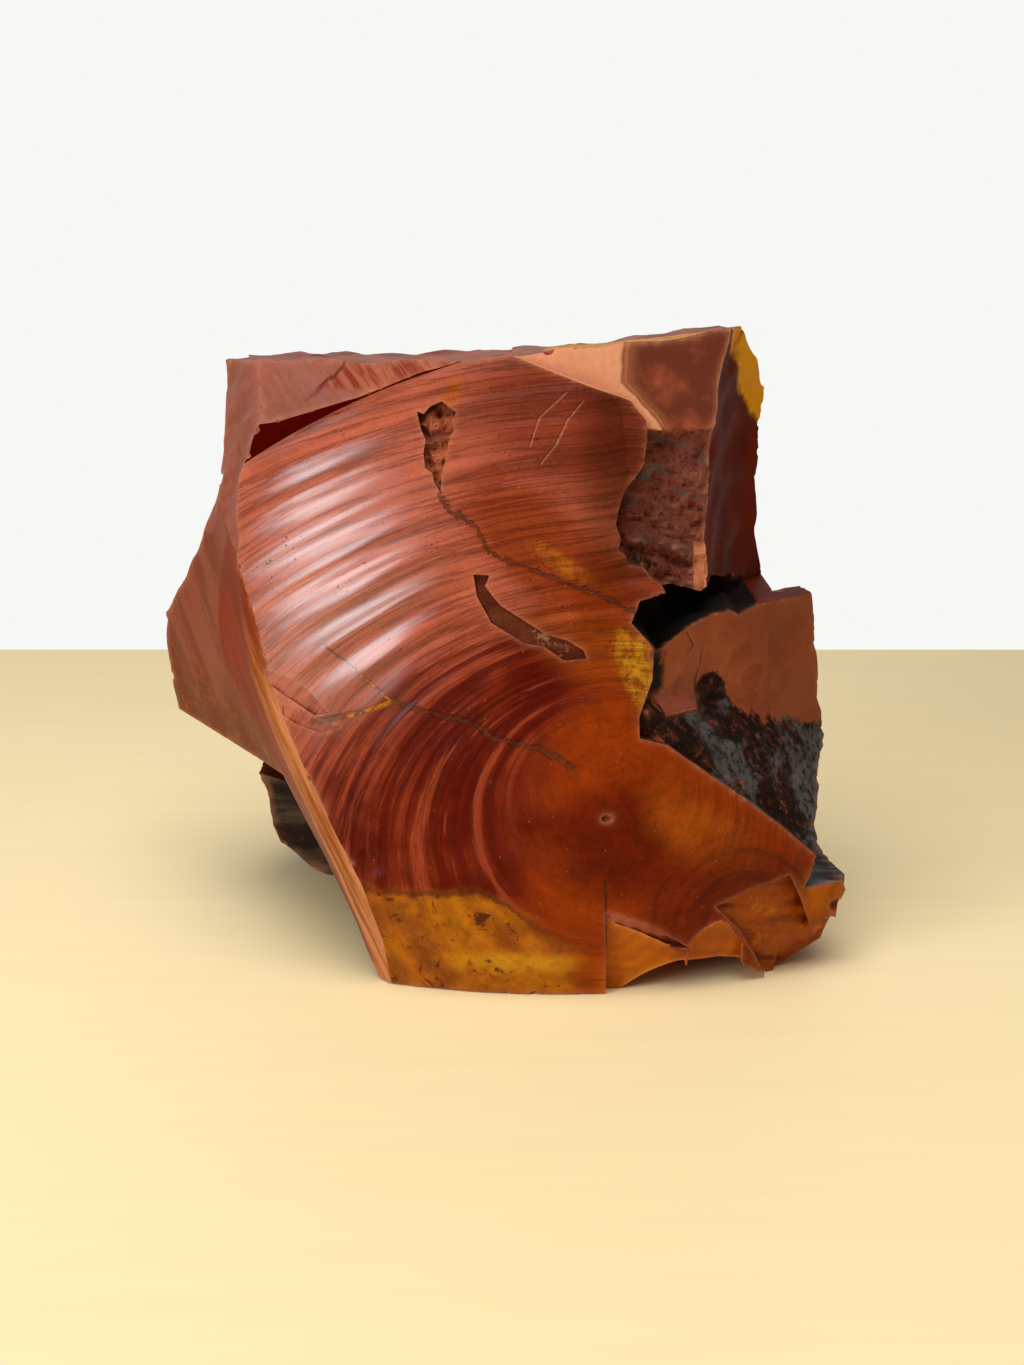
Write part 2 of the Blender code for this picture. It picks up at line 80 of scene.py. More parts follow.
# The bulge of the front break and the rings that spread up and left from one side of it
BULGE_X, BULGE_Y, BULGE_Z = 6.0, -35.0, 34.0
BULGE_RADIUS_X, BULGE_RADIUS_Z = 70.0, 110.0
RING_X, RING_Z, RING_SINK = 12.3, 33.8, 0.55
RIPPLE_LENGTH = 7.6
RIPPLE_START, RIPPLE_FULL = 12.0, 46.0
DRIFT_SCALE, DRIFT_TURN = 0.045, 3.0
SWELL_MEAN, SWELL_DRIFT = 0.65, 1.2
RING_SLOWNESS, FINE_RING_LENGTH = 0.02, 2.1
CALM_SHARE, CALM_LENGTH = 0.25, 4.0
CRISP_HEIGHT, CRISP_LEFT, CRISP_RIGHT = 0.055, -4.0, 12.0
CRISP_LENGTH, CRISP_SHARPNESS = 1.5, 5.0
CRISP_START, CRISP_FULL, CRISP_FADE, CRISP_END = 9.0, 16.0, 27.0, 44.0
BLOW_X, BLOW_Z, BLOW_REACH = 29.8, 9.2, 13.0
BLOW_RING_HEIGHT, BLOW_RING_LENGTH = 0.1, 1.9

# The shelf at the top left and the undercut below it
SHELF_X, SHELF_Y, SHELF_Z = -30.5, -23.6, 72.0
SHELF_RISE, SHELF_UNDERCUT = 0.27, 0.95
UNDERCUT_OUTWARD = Vector((SHELF_UNDERCUT * SHELF_RISE, -1.0, -SHELF_UNDERCUT))

# The older flat break at the top right, and the rolled lip where the front break meets it
WALL_X, WALL_Y, WALL_Z = 25.0, -21.0, 66.0
WALL_LEAN_X, WALL_LEAN_Z = 0.21, 0.13
LIP_X, LIP_LOW_Z, LIP_HIGH_Z, LIP_ROLL, LIP_CLEARANCE = 7.0, 49.0, 57.0, 0.12, 0.4
VEIN_DROP, VEIN_LOW_Z, VEIN_HIGH_Z = 1.6, 68.5, 71.5

# The step at the lower right and the dark rind on the lower part of it
STEP_X, STEP_Y, STEP_Z = 17.0, -30.0, 36.0
STEP_LEAN_X, STEP_LEAN_Z = 0.86, -0.05
STEP_RIM_DROP, STEP_RIM_SLOPE = 1.3, 1.5
STEP_RIM_X, STEP_RIM_Z, STEP_RIM_ACROSS, STEP_RIM_UP = 15.4, 39.9, 0.7, 0.71
RIND_LINE_Z, RIND_FALL, RIND_BUMP, RIND_BUMP_X = 36.6, 0.42, 4.2, 25.2
CRACK_Y, CRACK_X, CRACK_SLOPE, CRACK_OPEN_X = -24.0, 16.0, 1.3, 35.5

# The left side: a narrow strip beside the front's left rim, then a hollow
STRIP_WIDTH, STRIP_SLOPE, STRIP_FULL_Z, STRIP_END_Z = 2.6, 1.0, 40.0, 58.0
HOLLOW_DEPTH, HOLLOW_FADE, HOLLOW_SLOPE = 7.0, 4.0, 1.12
HOLLOW_WAVE_HEIGHT, HOLLOW_WAVE_LENGTH = 0.18, 4.5
LEFT_RIM = (
    (-2.0, -15.4), (6.6, -16.4), (14.6, -19.0), (20.5, -21.7), (26.3, -24.3), (33.5, -27.6),
    (40.0, -29.9), (48.0, -31.9), (54.2, -34.1), (58.0, -34.6), (64.0, -34.6),
)

SIDE_RIPPLE_HEIGHT, SIDE_RIPPLE_LENGTH = 0.2, 7.0
SIDE_RING_HEIGHT, SIDE_RING_SCALE = 0.1, 0.7
SIDE_LUMPS, SIDE_LUMP_SCALE = 0.8, 0.07
SIDE_BLOW = Vector((1.3, 0.8))
SIDE_DISH_FLOOR = -1.5
UNDER_CENTRE, UNDER_RADII = (23.6, -22.0, -11.2), (14.5, 28.0, 15.4)

# Flake scars with straight sides: finish, break they lie on, depth at their first corner, how much
# deeper each millimetre to the right and down makes them, and corners in x and z, all in mm
FACETS = (
    ("flake", "front", 0.45, 0.13, 0.02,
     ((25.7, 12.1), (30.0, 13.9), (35.3, 15.3), (37.2, 11.2), (38.7, 7.1), (35.1, 3.8),
      (34.5, -3.0), (31.6, 3.6), (29.1, 8.1))),
    ("flake", "front", 1.9, 0.12, 0.25,
     ((35.1, 5.0), (38.2, 6.6), (41.7, 7.9), (46.0, 6.0), (46.0, -3.0), (34.0, -3.0))),
    ("glow", "front", 0.4, 0.1, 0.25,
     ((22.6, 6.9), (24.0, 8.8), (26.2, 10.1), (27.6, 9.2), (29.6, 6.0), (30.0, -3.0), (22.0, -3.0))),
    ("glow", "front", 0.5, 0.02, 0.1,
     ((11.9, 11.2), (15.6, 9.4), (19.8, 6.8), (22.2, 4.8), (22.0, -3.0), (12.0, -3.0))),
    ("chip", "front", 0.12, 0.0, 0.3,
     ((11.9, 12.4), (16.8, 10.5), (22.6, 6.2), (19.8, 6.6), (15.6, 9.2), (11.7, 11.0))),
    ("front", "front", 0.1, -0.02, 0.12,
     ((-30.5, 41.6), (-27.6, 41.0), (-25.2, 39.8), (-22.6, 37.2), (-24.4, 36.6), (-27.8, 38.4),
      (-30.5, 40.0))),
    ("front", "front", 0.12, -0.03, 0.1,
     ((-28.6, 37.4), (-26.0, 37.2), (-23.6, 36.0), (-21.0, 35.6), (-23.4, 34.4), (-26.8, 35.2),
      (-28.6, 36.2))),
    ("sliver", "step", 0.35, 0.06, 0.05,
     ((17.4, 39.6), (20.0, 40.6), (22.8, 45.0), (24.1, 44.7), (23.0, 40.2), (23.1, 37.0), (18.8, 37.4))),
    ("block", "step", 0.5, 0.03, -0.05,
     ((17.0, 46.5), (21.6, 46.8), (22.6, 44.8), (19.6, 40.8), (17.2, 40.6))),
)

# Round dents: finish, break they lie on, middle in x and z, radii of the ball, and how deep it sinks
DENTS = (
    ("front", "front", (-18.4, 17.4), (5.0, 7.0, 5.0), 0.6),
    ("rough", "front", (11.6, 25.2), (0.8, 0.8, 0.6), 0.5),
    ("flake", "front", (40.8, 14.2), (2.6, 6.0, 2.2), 0.5),
    ("flake", "front", (42.6, 9.4), (2.2, 6.0, 2.0), 0.6),
    ("block", "step", (29.5, 41.0), (5.5, 5.5, 5.5), 0.75),
    ("block", "step", (31.0, 38.6), (3.6, 3.6, 3.6), 0.8),
    ("block", "step", (24.0, 46.6), (7.0, 7.0, 4.0), 0.5),
    ("block", "step", (36.0, 42.0), (12.0, 12.0, 12.0), 0.7),
)
STEP_OUTWARD = Vector((0.65, -0.76, 0.0))
FACET_WAVE_HEIGHT, FACET_WAVE_LENGTH = 0.08, 2.3
BALL_UNEVENNESS, BALL_LARGE = 0.02, 10.0

# Wide shallow flake scars on the back, the sides and the top: finish, middle, the way out of the
# stone, ball radius and how deep it sinks
SCARS = (
    ("mauve", (-9.0, 25.5, 47.0), (0.0, 1.0, 0.25), 34.0, 1.5),
    ("deep", (12.0, 27.0, 36.0), (0.15, 1.0, 0.1), 26.0, 1.3),
    ("mauve", (-6.0, 28.5, 22.0), (-0.1, 1.0, 0.0), 40.0, 1.0),
    ("rind", (17.0, 28.5, 15.0), (0.3, 1.0, -0.2), 22.0, 0.8),
    ("deep", (2.0, 26.0, 60.0), (0.1, 1.0, 0.3), 18.0, 1.3),
    ("rind", (-27.0, 26.0, 33.0), (-0.8, 1.0, 0.1), 24.0, 1.4),
    ("mauve", (-42.0, 9.0, 50.0), (-1.0, 0.35, 0.2), 20.0, 1.3),
    ("deep", (-41.5, 14.0, 34.0), (-1.0, 0.5, -0.1), 18.0, 1.3),
    ("mauve", (-36.8, 2.0, 72.0), (-1.0, 0.3, 0.2), 14.0, 1.0),
    ("mauve", (-12.0, 0.0, 78.8), (0.0, -0.1, 1.0), 26.0, 1.2),
    ("deep", (-24.0, -6.0, 79.0), (-0.1, 0.0, 1.0), 16.0, 0.9),
    ("mauve", (28.0, 12.0, 64.0), (1.0, 0.8, 0.1), 16.0, 1.1),
    ("hematite", (41.0, 6.0, 30.0), (1.0, 0.2, 0.0), 16.0, 1.3),
)
PIT_DEPTH, PIT_GRAIN = 1.3, 0.8
PATCH_DEPTH, PATCH_GRAIN = 0.26, 0.13

# Face sizes, mm
FRONT_CELL, WALL_CELL, LEFT_CELL, SIDE_CELL = 0.36, 0.5, 0.6, 1.1
CRACK_CELL, ROUGH_CELL = 1.0, 0.35

# The small bites out of the edges, and the reach of the thin pale rims beside them, which are partly a
# painted highlight, mm
SHARP_ANGLE, SQUARE_ANGLE = math.radians(32.0), math.radians(55.0)
CHIP_SEED, CHIP_TRIES, CHIP_SMALL, CHIP_LARGE, CHIP_SPACING = 4, 700, 0.3, 1.4, 1.15
RIM_HIGHLIGHT_REACH, MERGE_DISTANCE = 0.24, 0.0001
DIVIDE_ROUNDS, MEND_ROUNDS, COARSE_EDGE = 5, 6, 1.8
HELPER_ENDING = "_outline"

# The stage, in metres: the table's height, the soft lights and the dim room round them
TABLE_TOP = -0.0001
WINDOW_PLACE, WINDOW_SIZE, WINDOW_COLOUR = (-0.52, -0.43, 0.17), (0.24, 0.26), (0.97, 0.97, 1.0)
TOP_PLACE, TOP_SIZE, TOP_COLOUR = (-0.05, -0.22, 0.55), (0.45, 0.35), (1.0, 0.97, 0.92)
ROOM_COLOUR = (0.16, 0.13, 0.1)
ROOM_TURN_START, ROOM_TURN_END = 0.6, 0.92
LIGHT_AIM, SENSOR_WIDTH, NEAREST_VIEW = (0.0, 0.0, 0.04), 36.0, 0.01

# Corners that the side breaks run through, mm
CORNERS = {
    "shelf_left": (-30.5, -23.6, 72.0),
    "shelf_right": (-13.5, -23.9, 76.6),
    "shelf_back": (-31.7, -17.5, 81.2),
    "rim_top": (-34.1, -18.0, 65.0),
    "bulge": (-47.2, 2.5, 41.0),
    "bulge_top": (-46.6, 1.0, 45.8),
    "bulge_low": (-46.8, 5.0, 28.0),
    "left_top": (-37.5, -4.0, 78.6),
    "left_neck": (-37.4, -12.0, 63.2),
    "left_back": (-36.0, 14.0, 70.0),
    "shoulder_back": (-35.0, 22.0, 58.0),
    "bulge_back": (-36.0, 25.0, 34.0),
    "crust_front": (-29.9, -18.0, 25.7),
    "crust_back": (-33.0, 10.0, 18.0),
    "strip_edge_low": (-19.2, -24.0, 4.3),
    "strip_edge_high": (-29.9, -18.0, 25.7),
    "hollow_deep": (-21.5, -10.5, 8.0),
    "foot_top": (-37.0, 12.0, 16.2),
    "foot_out": (-35.0, 14.0, 5.3),
    "foot_back": (-37.0, 26.0, 12.0),
    "foot_low": (-28.5, 16.0, 0.1),
    "foot_low_back": (-30.0, 28.0, 1.0),
    "ridge_top": (26.3, -18.5, 81.0),
    "ridge_low": (25.2, -20.0, 51.0),
    "right_edge": (33.4, 2.0, 60.0),
    "right_edge_top": (33.6, 3.2, 70.0),
    "right_edge_low": (33.7, 2.2, 49.0),
    "right_back": (24.0, 20.0, 60.0),
    "peak": (27.9, -8.0, 82.6),
    "ochre_out": (34.8, 4.5, 73.0),
    "ochre_back": (22.0, 12.0, 82.0),
    "scar_left_high": (-37.0, 14.0, 54.0),
    "scar_left_middle": (-12.0, 31.0, 44.0),
    "scar_left_low": (-31.0, 27.0, 12.0),
    "scar_right_high": (33.0, 7.0, 68.0),
    "scar_right_middle": (12.0, 27.5, 60.0),
    "scar_right_low": (36.0, 19.0, 42.0),
    "top_left": (-31.7, -17.0, 79.3),
    "top_front": (-1.4, -25.0, 80.2),
    "top_back_left": (-14.0, 6.0, 78.2),
    "top_right": (26.2, -18.5, 82.7),
    "top_back_right": (16.6, 2.0, 80.5),
    "crest_left": (-26.0, 10.0, 77.6),
    "crest_right": (24.0, 9.0, 80.0),
    "back_high": (0.0, 23.0, 58.0),
    "back_left": (-27.0, 28.0, 24.0),
    "back_right": (20.0, 29.0, 22.0),
    "back_upper": (2.0, 25.0, 56.0),
    "step_top": (39.2, -10.0, 47.4),
    "step_out": (42.6, -9.0, 28.5),
    "crown_right": (39.2, -11.6, 49.4),
    "crown_left": (34.6, -14.5, 49.6),
    "crown_back": (37.0, 10.0, 43.6),
    "step_back": (38.0, 18.0, 38.0),
    "step_low": (38.2, -17.0, 15.5),
    "step_low_back": (38.8, 8.0, 15.0),
    "heel_top": (41.0, 10.0, 44.0),
    "heel_out": (42.0, 8.0, 22.0),
    "heel_back": (28.0, 27.0, 28.0),
    "lobe_out": (42.9, -20.0, 11.0),
    "lobe_low": (42.0, -21.0, 3.8),
    "lobe_back": (41.0, -2.0, 12.0),
    "lobe_toe": (36.0, -22.0, 0.8),
    "lobe_toe_back": (37.0, 0.0, 0.8),
    "under_back_left": (-28.0, 27.5, 7.0),
    "under_back_right": (24.0, 28.5, 8.0),
    "under_back_middle": (0.0, 23.0, 0.0),
}

WALL_OUTLINE = (
    (-2.0, 81.0), (10.5, 76.2), (14.4, 74.6), (16.4, 72.2), (16.5, 70.0), (16.1, 66.8),
    (14.9, 65.2), (13.6, 63.9), (12.9, 62.0), (12.5, 60.4), (13.1, 58.8), (12.9, 57.2),
    (13.9, 56.2), (14.3, 55.2), (16.2, 54.4), (17.3, 53.2), (18.3, 52.6), (19.1, 51.2),
    (20.6, 50.6), (21.4, 49.5), (50.0, 49.5), (50.0, 92.0), (-2.0, 92.0),
)
STEP_OUTLINE = (
    (17.2, 50.0), (16.8, 42.5), (15.3, 38.0), (15.4, 35.4), (18.8, 34.4), (23.2, 31.0),
    (28.4, 27.0), (34.0, 22.2), (39.6, 16.6), (42.5, 13.9), (44.0, 10.0), (54.0, 10.0),
    (54.0, 50.0),
)
CRACK_OUTLINE = (
    (14.2, 49.4), (15.4, 51.6), (20.0, 52.0), (23.6, 50.9), (25.2, 52.2), (28.1, 50.6),
    (33.4, 49.9), (36.0, 50.6), (36.0, 92.0), (56.0, 92.0), (56.0, 50.0), (39.6, 49.7),
    (37.6, 50.3), (35.4, 50.0), (33.0, 49.5), (31.0, 48.3), (28.6, 47.6), (27.3, 48.4), (24.6, 48.2),
    (22.0, 47.4), (17.6, 45.0), (16.4, 47.0),
)
LEFT_OUTLINE = tuple((x, z) for z, x in LEFT_RIM) + ((-38.0, 64.0), (-60.0, 64.0), (-60.0, -2.0))
PIT_OUTLINE = (
    (-8.4, 74.9), (-6.7, 73.7), (-7.2, 72.6), (-6.9, 71.7), (-7.6, 70.2), (-7.7, 68.8), (-8.4, 66.5),
    (-8.5, 64.3), (-9.3, 65.6), (-9.5, 66.6), (-10.4, 67.2), (-10.6, 68.9), (-10.3, 70.4),
    (-10.9, 71.6), (-11.4, 73.7), (-10.6, 73.4), (-9.8, 74.3),
)
GRAIN_OUTLINE = (
    (-4.6, 55.1), (-2.7, 55.0), (-3.2, 53.7), (-1.4, 51.5), (1.3, 49.9), (3.9, 48.2), (6.5, 47.5),
    (8.5, 46.3), (8.9, 45.3), (6.2, 45.1), (3.9, 46.7), (1.3, 47.2), (-1.0, 48.6), (-2.5, 49.5),
    (-4.2, 52.6),
)

# Cracks on the front break, as points in x and z
MAIN_CRACK = (
    (-24.5, 35.8), (-19.0, 37.4), (-14.6, 39.4), (-11.1, 38.4), (-4.1, 37.2), (-2.6, 35.5),
    (3.2, 34.3), (7.4, 31.9),
)
FEEDER_CRACK = ((-22.9, 45.7), (-17.3, 41.5), (-14.6, 39.4))
PIT_CRACK = (
    (-8.5, 64.3), (-7.9, 62.8), (-4.0, 60.4), (-2.9, 57.8), (0.5, 56.4), (9.6, 53.1), (15.0, 50.4),
)
FAULT = ((11.6, 16.9), (12.3, 0.5))
TOP_CRACK = ((8.4, 75.0), (6.5, 72.8), (5.4, 70.3), (3.3, 67.8))
SIDE_CRACK = ((6.5, 76.1), (3.3, 73.2), (2.2, 70.0))

CRUST = ("bulge_low", "crust_front", "crust_back")
BEHIND_STRIP = ("strip_edge_low", "strip_edge_high", "hollow_deep")
LEFT_PART = ((0.0, 0.0, 0.0), (-1.0, 0.0, 0.0))
RIGHT_PART = ((-4.0, 0.0, 0.0), (1.0, 0.0, 0.0))
RIGHT_OF_WALL = ((34.4, 0.0, 0.0), (1.0, 0.0, 0.0))
NOTCH_FLOOR = ((-37.0, 12.0, 16.4), (0.25, 0.0, 1.0))
FOOT_FRONT = ((-33.0, 14.0, 4.0), (-0.3, -1.0, -0.25))
BEHIND_FOOT_FRONT = ((-33.0, 11.0, 4.0), (0.3, 1.0, 0.25))
LEFT_OF_FOOT = ((-26.0, 0.0, 0.0), (-1.0, 0.0, 0.0))


def above(z):
    """The side of a level plane that is higher than it."""
    return (0.0, 0.0, z), (0.0, 0.0, 1.0)


def below(z):
    """The side of a level plane that is lower than it."""
    return (0.0, 0.0, z), (0.0, 0.0, -1.0)


# Each side break: its name, finish, roughness of relief, corners, hollow and the planes it stays behind
SIDES = (
    ("shelf", "shelf", 0.3, ("shelf_left", "shelf_right", "shelf_back"), 0.5, ()),
    ("upper_left", "corner", 0.3, ("top_left", "rim_top", "left_top"), 0.2, (above(52.0),)),
    ("left_back", "mauve", 0.6, ("left_top", "left_neck", "left_back"), 0.6, (above(63.0),)),
    ("shoulder", "mauve", 0.5, ("left_neck", "bulge_top", "shoulder_back"), 1.0, (below(64.0),)),
    ("bulge_back", "mauve", 0.6, ("bulge", "bulge_low", "bulge_back"), 1.0, ()),
    ("crust", "rind", 3.4, CRUST, 0.3, (NOTCH_FLOOR, BEHIND_FOOT_FRONT, LEFT_OF_FOOT)),
    ("foot_side", "foot", 0.9, ("foot_top", "foot_out", "foot_back"), 0.2, (below(20.0),)),
    ("foot_low", "foot", 0.9, ("foot_out", "foot_low", "foot_low_back"), 0.0, ()),
    ("right_upper", "shade", 0.4, ("ridge_top", "ridge_low", "right_edge"), 1.8, (above(48.5),)),
    ("right_back", "mauve", 0.5, ("right_edge_top", "right_edge_low", "right_back"), 0.8,
     (above(47.5),)),
    ("ochre_corner", "ochre", 0.5, ("peak", "ochre_out", "ochre_back"), 0.1, ()),
    ("top_left_side", "mauve", 0.4, ("top_left", "top_front", "top_back_left"), 0.3, (LEFT_PART,)),
    ("top_right_side", "top", 0.4, ("top_front", "top_right", "top_back_right"), 0.3,
     (RIGHT_PART,)),
    ("crest", "mauve", 0.7, ("crest_left", "crest_right", "back_high"), 1.6, ()),
    ("back", "mauve", 0.9, ("back_left", "back_right", "back_upper"), 2.4, ()),
    ("scar_left", "rind", 1.4, ("scar_left_high", "scar_left_middle", "scar_left_low"), 1.5, ()),
    ("scar_right", "mauve", 0.8, ("scar_right_high", "scar_right_middle", "scar_right_low"), 1.5,
     ()),
    ("step_side", "block", 0.8, ("step_top", "step_out", "step_back"), 0.4,
     (below(48.5), above(14.5))),
    ("step_crown", "hematite", 0.8, ("crown_right", "crown_left", "crown_back"), 0.0,
     (RIGHT_OF_WALL, above(42.0))),
    ("step_under", "hematite", 1.6, ("step_out", "step_low", "step_low_back"), 0.5, (above(13.0),)),
    ("heel", "hematite", 1.4, ("heel_top", "heel_out", "heel_back"), 1.8, (below(49.0),)),
    ("lobe_side", "front", 0.6, ("lobe_out", "lobe_low", "lobe_back"), 0.2, (below(16.5),)),
    ("lobe_under", "front", 0.6, ("lobe_low", "lobe_toe", "lobe_toe_back"), 0.2, ()),
    ("under_back", "rind", 1.5,
     ("under_back_left", "under_back_right", "under_back_middle"), 0.6, ()),
)


def smooth_step(low, high, value):
    """0 at low, 1 at high and smooth between, in either order."""
    t = min(1.0, max(0.0, (value - low) / (high - low)))
    return t * t * (3.0 - 2.0 * t)


def ring_radius(x, z):
    """Which ring of the front break a point lies on, as that ring's radius."""
    across, down = x - RING_X, RING_Z - z
    spread = 1.0 - RING_SINK**2
    reach = (RING_SINK * down) ** 2 + spread * (across**2 + down**2)
    return (math.sqrt(reach) - RING_SINK * down) / spread


def ring_noise(ring, x, z, length):
    """Uneven relief that runs along the rings: one value per ring, which drifts slowly round it."""
    return noise.noise(Vector((ring / length, x * RING_SLOWNESS, z * RING_SLOWNESS)) + SEED_OFFSET)


def ripple(x, z):
    """Height of the front break's ripples, mm, out of the stone: long swells and finer ones on them."""
    sizes = bpy.context.scene.mookaite_stone
    ring = ring_radius(x, z)
    drift = noise.noise(Vector((x, z, 0.0)) * DRIFT_SCALE + SEED_OFFSET)
    swell = smooth_step(RIPPLE_START, RIPPLE_FULL, ring) * (SWELL_MEAN + SWELL_DRIFT * drift)
    turn = math.tau * (ring + DRIFT_TURN * drift) / RIPPLE_LENGTH
    height = sizes.ripple_height / MM * swell * math.sin(turn)
    fine = sizes.fine_ripple_height / MM
    height += fine * swell * ring_noise(ring, x, z, FINE_RING_LENGTH)
    crisp = smooth_step(CRISP_START, CRISP_FULL, ring) * smooth_step(CRISP_END, CRISP_FADE, ring)
    crisp *= smooth_step(CRISP_RIGHT, CRISP_LEFT, x)
    crest = 1.0 - CRISP_SHARPNESS * abs(ring_noise(ring, x, z, CRISP_LENGTH))
    height += CRISP_HEIGHT * crisp * crest
    calm = 1.0 - smooth_step(RIPPLE_START, RIPPLE_FULL, ring)
    return height + CALM_SHARE * fine * calm * ring_noise(ring, x, z, CALM_LENGTH)


def blow_rings(x, z):
    """Height of the small rings round the blow, mm."""
    reach = math.hypot(x - BLOW_X, z - BLOW_Z)
    fade = 1.0 - smooth_step(0.6 * BLOW_REACH, BLOW_REACH, reach)
    fade *= smooth_step(2.0, 5.0, reach) * smooth_step(-8.0, 4.0, z - BLOW_Z - 0.6 * (x - BLOW_X))
    uneven = 1.0 + 1.6 * noise.noise(Vector((reach * 0.4, x * 0.08, z * 0.08)) + SEED_OFFSET)
    return fade * uneven * BLOW_RING_HEIGHT * math.sin(math.tau * reach / BLOW_RING_LENGTH)


def wall_depth(x, z):
    """Where the plane of the older break at the top right stands, in y."""
    return WALL_Y + WALL_LEAN_X * (x - WALL_X) + WALL_LEAN_Z * (z - WALL_Z)


def front_shape(x, z, relief):
    """Where the front break stands, in y: a bulge with a rolled lip, with that relief on it."""
    depth = BULGE_Y
    depth += (x - BULGE_X) ** 2 / (2.0 * BULGE_RADIUS_X)
    depth += (z - BULGE_Z) ** 2 / (2.0 * BULGE_RADIUS_Z)
    depth -= relief
    rolled = smooth_step(LIP_LOW_Z, LIP_HIGH_Z, z) * LIP_ROLL * max(0.0, x - LIP_X) ** 2
    if rolled > 0.0:
        depth = min(depth + rolled, max(depth, wall_depth(x, z) - LIP_CLEARANCE))
    return depth


def front_depth(x, z):
    """Where the front break stands with its ripples and rings, in y."""
    return front_shape(x, z, ripple(x, z) + blow_rings(x, z))


def grain(x, z, scale):
    """Soft uneven relief, from -1 to 1."""
    return noise.noise(Vector((x, z, 0.0)) * scale + SEED_OFFSET)


def crumbs(x, z, scale):
    """Uneven relief with small sharp grains, from about -1 to 1."""
    return noise.fractal(Vector((x, z, 3.0)) * scale + SEED_OFFSET, 1.0, 2.0, 4)


def rough_vein(x, z):
    """How much of the rough vein a point of the old wall holds."""
    edge = 3.0 * grain(x, z, 0.35)
    return smooth_step(VEIN_HIGH_Z, VEIN_LOW_Z, z + edge)


def wall_floor(x, z):
    """The older break with its rough vein sunk into it."""
    rough = rough_vein(x, z)
    lumps = 0.5 * grain(x, z, 0.45) + 0.55 * crumbs(x, z, 1.1)
    strata = 0.8 * noise.noise(Vector((x * 0.12, 0.0, z * 0.5 + x * 0.14)) + SEED_OFFSET)
    return wall_depth(x, z) + rough * (VEIN_DROP + lumps + strata) + 0.12 * grain(x, z, 0.3)


def rind_cover(x, z):
    """How much of the dark rind a point of the step holds."""
    edge = 3.0 * grain(x, z, 0.12) + 1.5 * grain(x, z, 0.4)
    bump = RIND_BUMP * math.exp(-((x - RIND_BUMP_X) ** 2) / 5.0)
    line = RIND_LINE_Z - RIND_FALL * (x - RIND_BUMP_X) + bump
    return smooth_step(line + 0.8, line - 0.8, z + edge)


def step_shape(x, z):
    """The lower right step: a break that faces right, and turns up to the front break's rim."""
    above_rim = max(0.0, STEP_RIM_ACROSS * (x - STEP_RIM_X) + STEP_RIM_UP * (z - STEP_RIM_Z))
    flat = STEP_Y + STEP_LEAN_X * (x - STEP_X) + STEP_LEAN_Z * (z - STEP_Z)
    return min(flat, front_shape(x, z, 0.0) + STEP_RIM_DROP + STEP_RIM_SLOPE * above_rim)


def step_floor(x, z):
    """The step with the rough rind on its lower part and shallow flakes above."""
    rough = rind_cover(x, z)
    lumps = 0.9 * grain(x, z, 0.35) + 0.6 * crumbs(x, z, 0.6)
    flakes = 0.7 * abs(grain(x, z, 0.11)) + 0.15 * grain(x, z, 0.5)
    return step_shape(x, z) + rough * lumps + (1.0 - rough) * flakes


def plain_front(x, z):
    """Where the front break stands without its ripples, in y."""
    return front_shape(x, z, 0.0)


BREAKS = {"front": (plain_front, Vector((0.0, -1.0, 0.0))), "step": (step_shape, STEP_OUTWARD)}


def left_rim(z):
    """Where the left rim of the front break lies, in x."""
    for (low_z, low_x), (high_z, high_x) in zip(LEFT_RIM, LEFT_RIM[1:]):
        if z <= high_z:
            break
    return low_x + (high_x - low_x) * (z - low_z) / (high_z - low_z)


def left_floor(x, z):
    """The left side: a strip beside the rim, then a hollow that is steepest beside the strip."""
    rim = left_rim(z)
    width = STRIP_WIDTH * smooth_step(STRIP_END_Z, STRIP_FULL_Z, z)
    out = rim - x
    past = max(0.0, out - width)
    hollow = HOLLOW_DEPTH * (1.0 - math.exp(-past / HOLLOW_FADE)) + HOLLOW_SLOPE * past
    waves = HOLLOW_WAVE_HEIGHT * math.sin(math.tau * (past + 0.12 * z) / HOLLOW_WAVE_LENGTH)
    waves *= smooth_step(1.0, 4.0, past)
    lumps = 0.25 * grain(x, z, 0.2) * smooth_step(0.0, 3.0, past)
    return front_shape(rim, z, 0.0) + STRIP_SLOPE * min(out, width) + hollow + waves + lumps


def crack_floor(x, z):
    """The crack runs back further and further to the right, and out through the right side."""
    if x > CRACK_OPEN_X:
        return STONE_DEPTH
    return CRACK_Y + CRACK_SLOPE * max(0.0, x - CRACK_X) + 1.2 * grain(x, z, 0.4)


def rough_floor(depth, height):
    """A pocket floor at one depth below the front break, with grain."""

    def floor(x, z):
        return front_depth(x, z) + depth + height * (grain(x, z, 0.6) + crumbs(x, z, 1.1))

    return floor


def new_object(name, mesh_maker, *finishes):
    """An object whose mesh, in millimetres, is made by a function that fills a bmesh."""
    mesh = bpy.data.meshes.new(name)
    bm = bmesh.new()
    mesh_maker(bm)
    bmesh.ops.recalc_face_normals(bm, faces=bm.faces[:])
    bm.to_mesh(mesh)
    bm.free()
    for finish in finishes:
        mesh.materials.append(finish)
    made = bpy.data.objects.new(name, mesh)
    bpy.context.scene.collection.objects.link(made)
    return made


def thicken(bm, away):
    """Turns an open sheet into a closed slab: its rim is drawn out to a flat back, and closed there."""
    towards, reach = away.normalized(), away.length
    rim = [edge for edge in bm.edges if edge.is_boundary]
    drawn = bmesh.ops.extrude_edge_only(bm, edges=rim)["geom"]
    for vert in (item for item in drawn if isinstance(item, bmesh.types.BMVert)):
        vert.co += towards * (reach - vert.co.dot(towards))
    back = [item for item in drawn if isinstance(item, bmesh.types.BMEdge) and item.is_boundary]
    bmesh.ops.edgenet_fill(bm, edges=back)


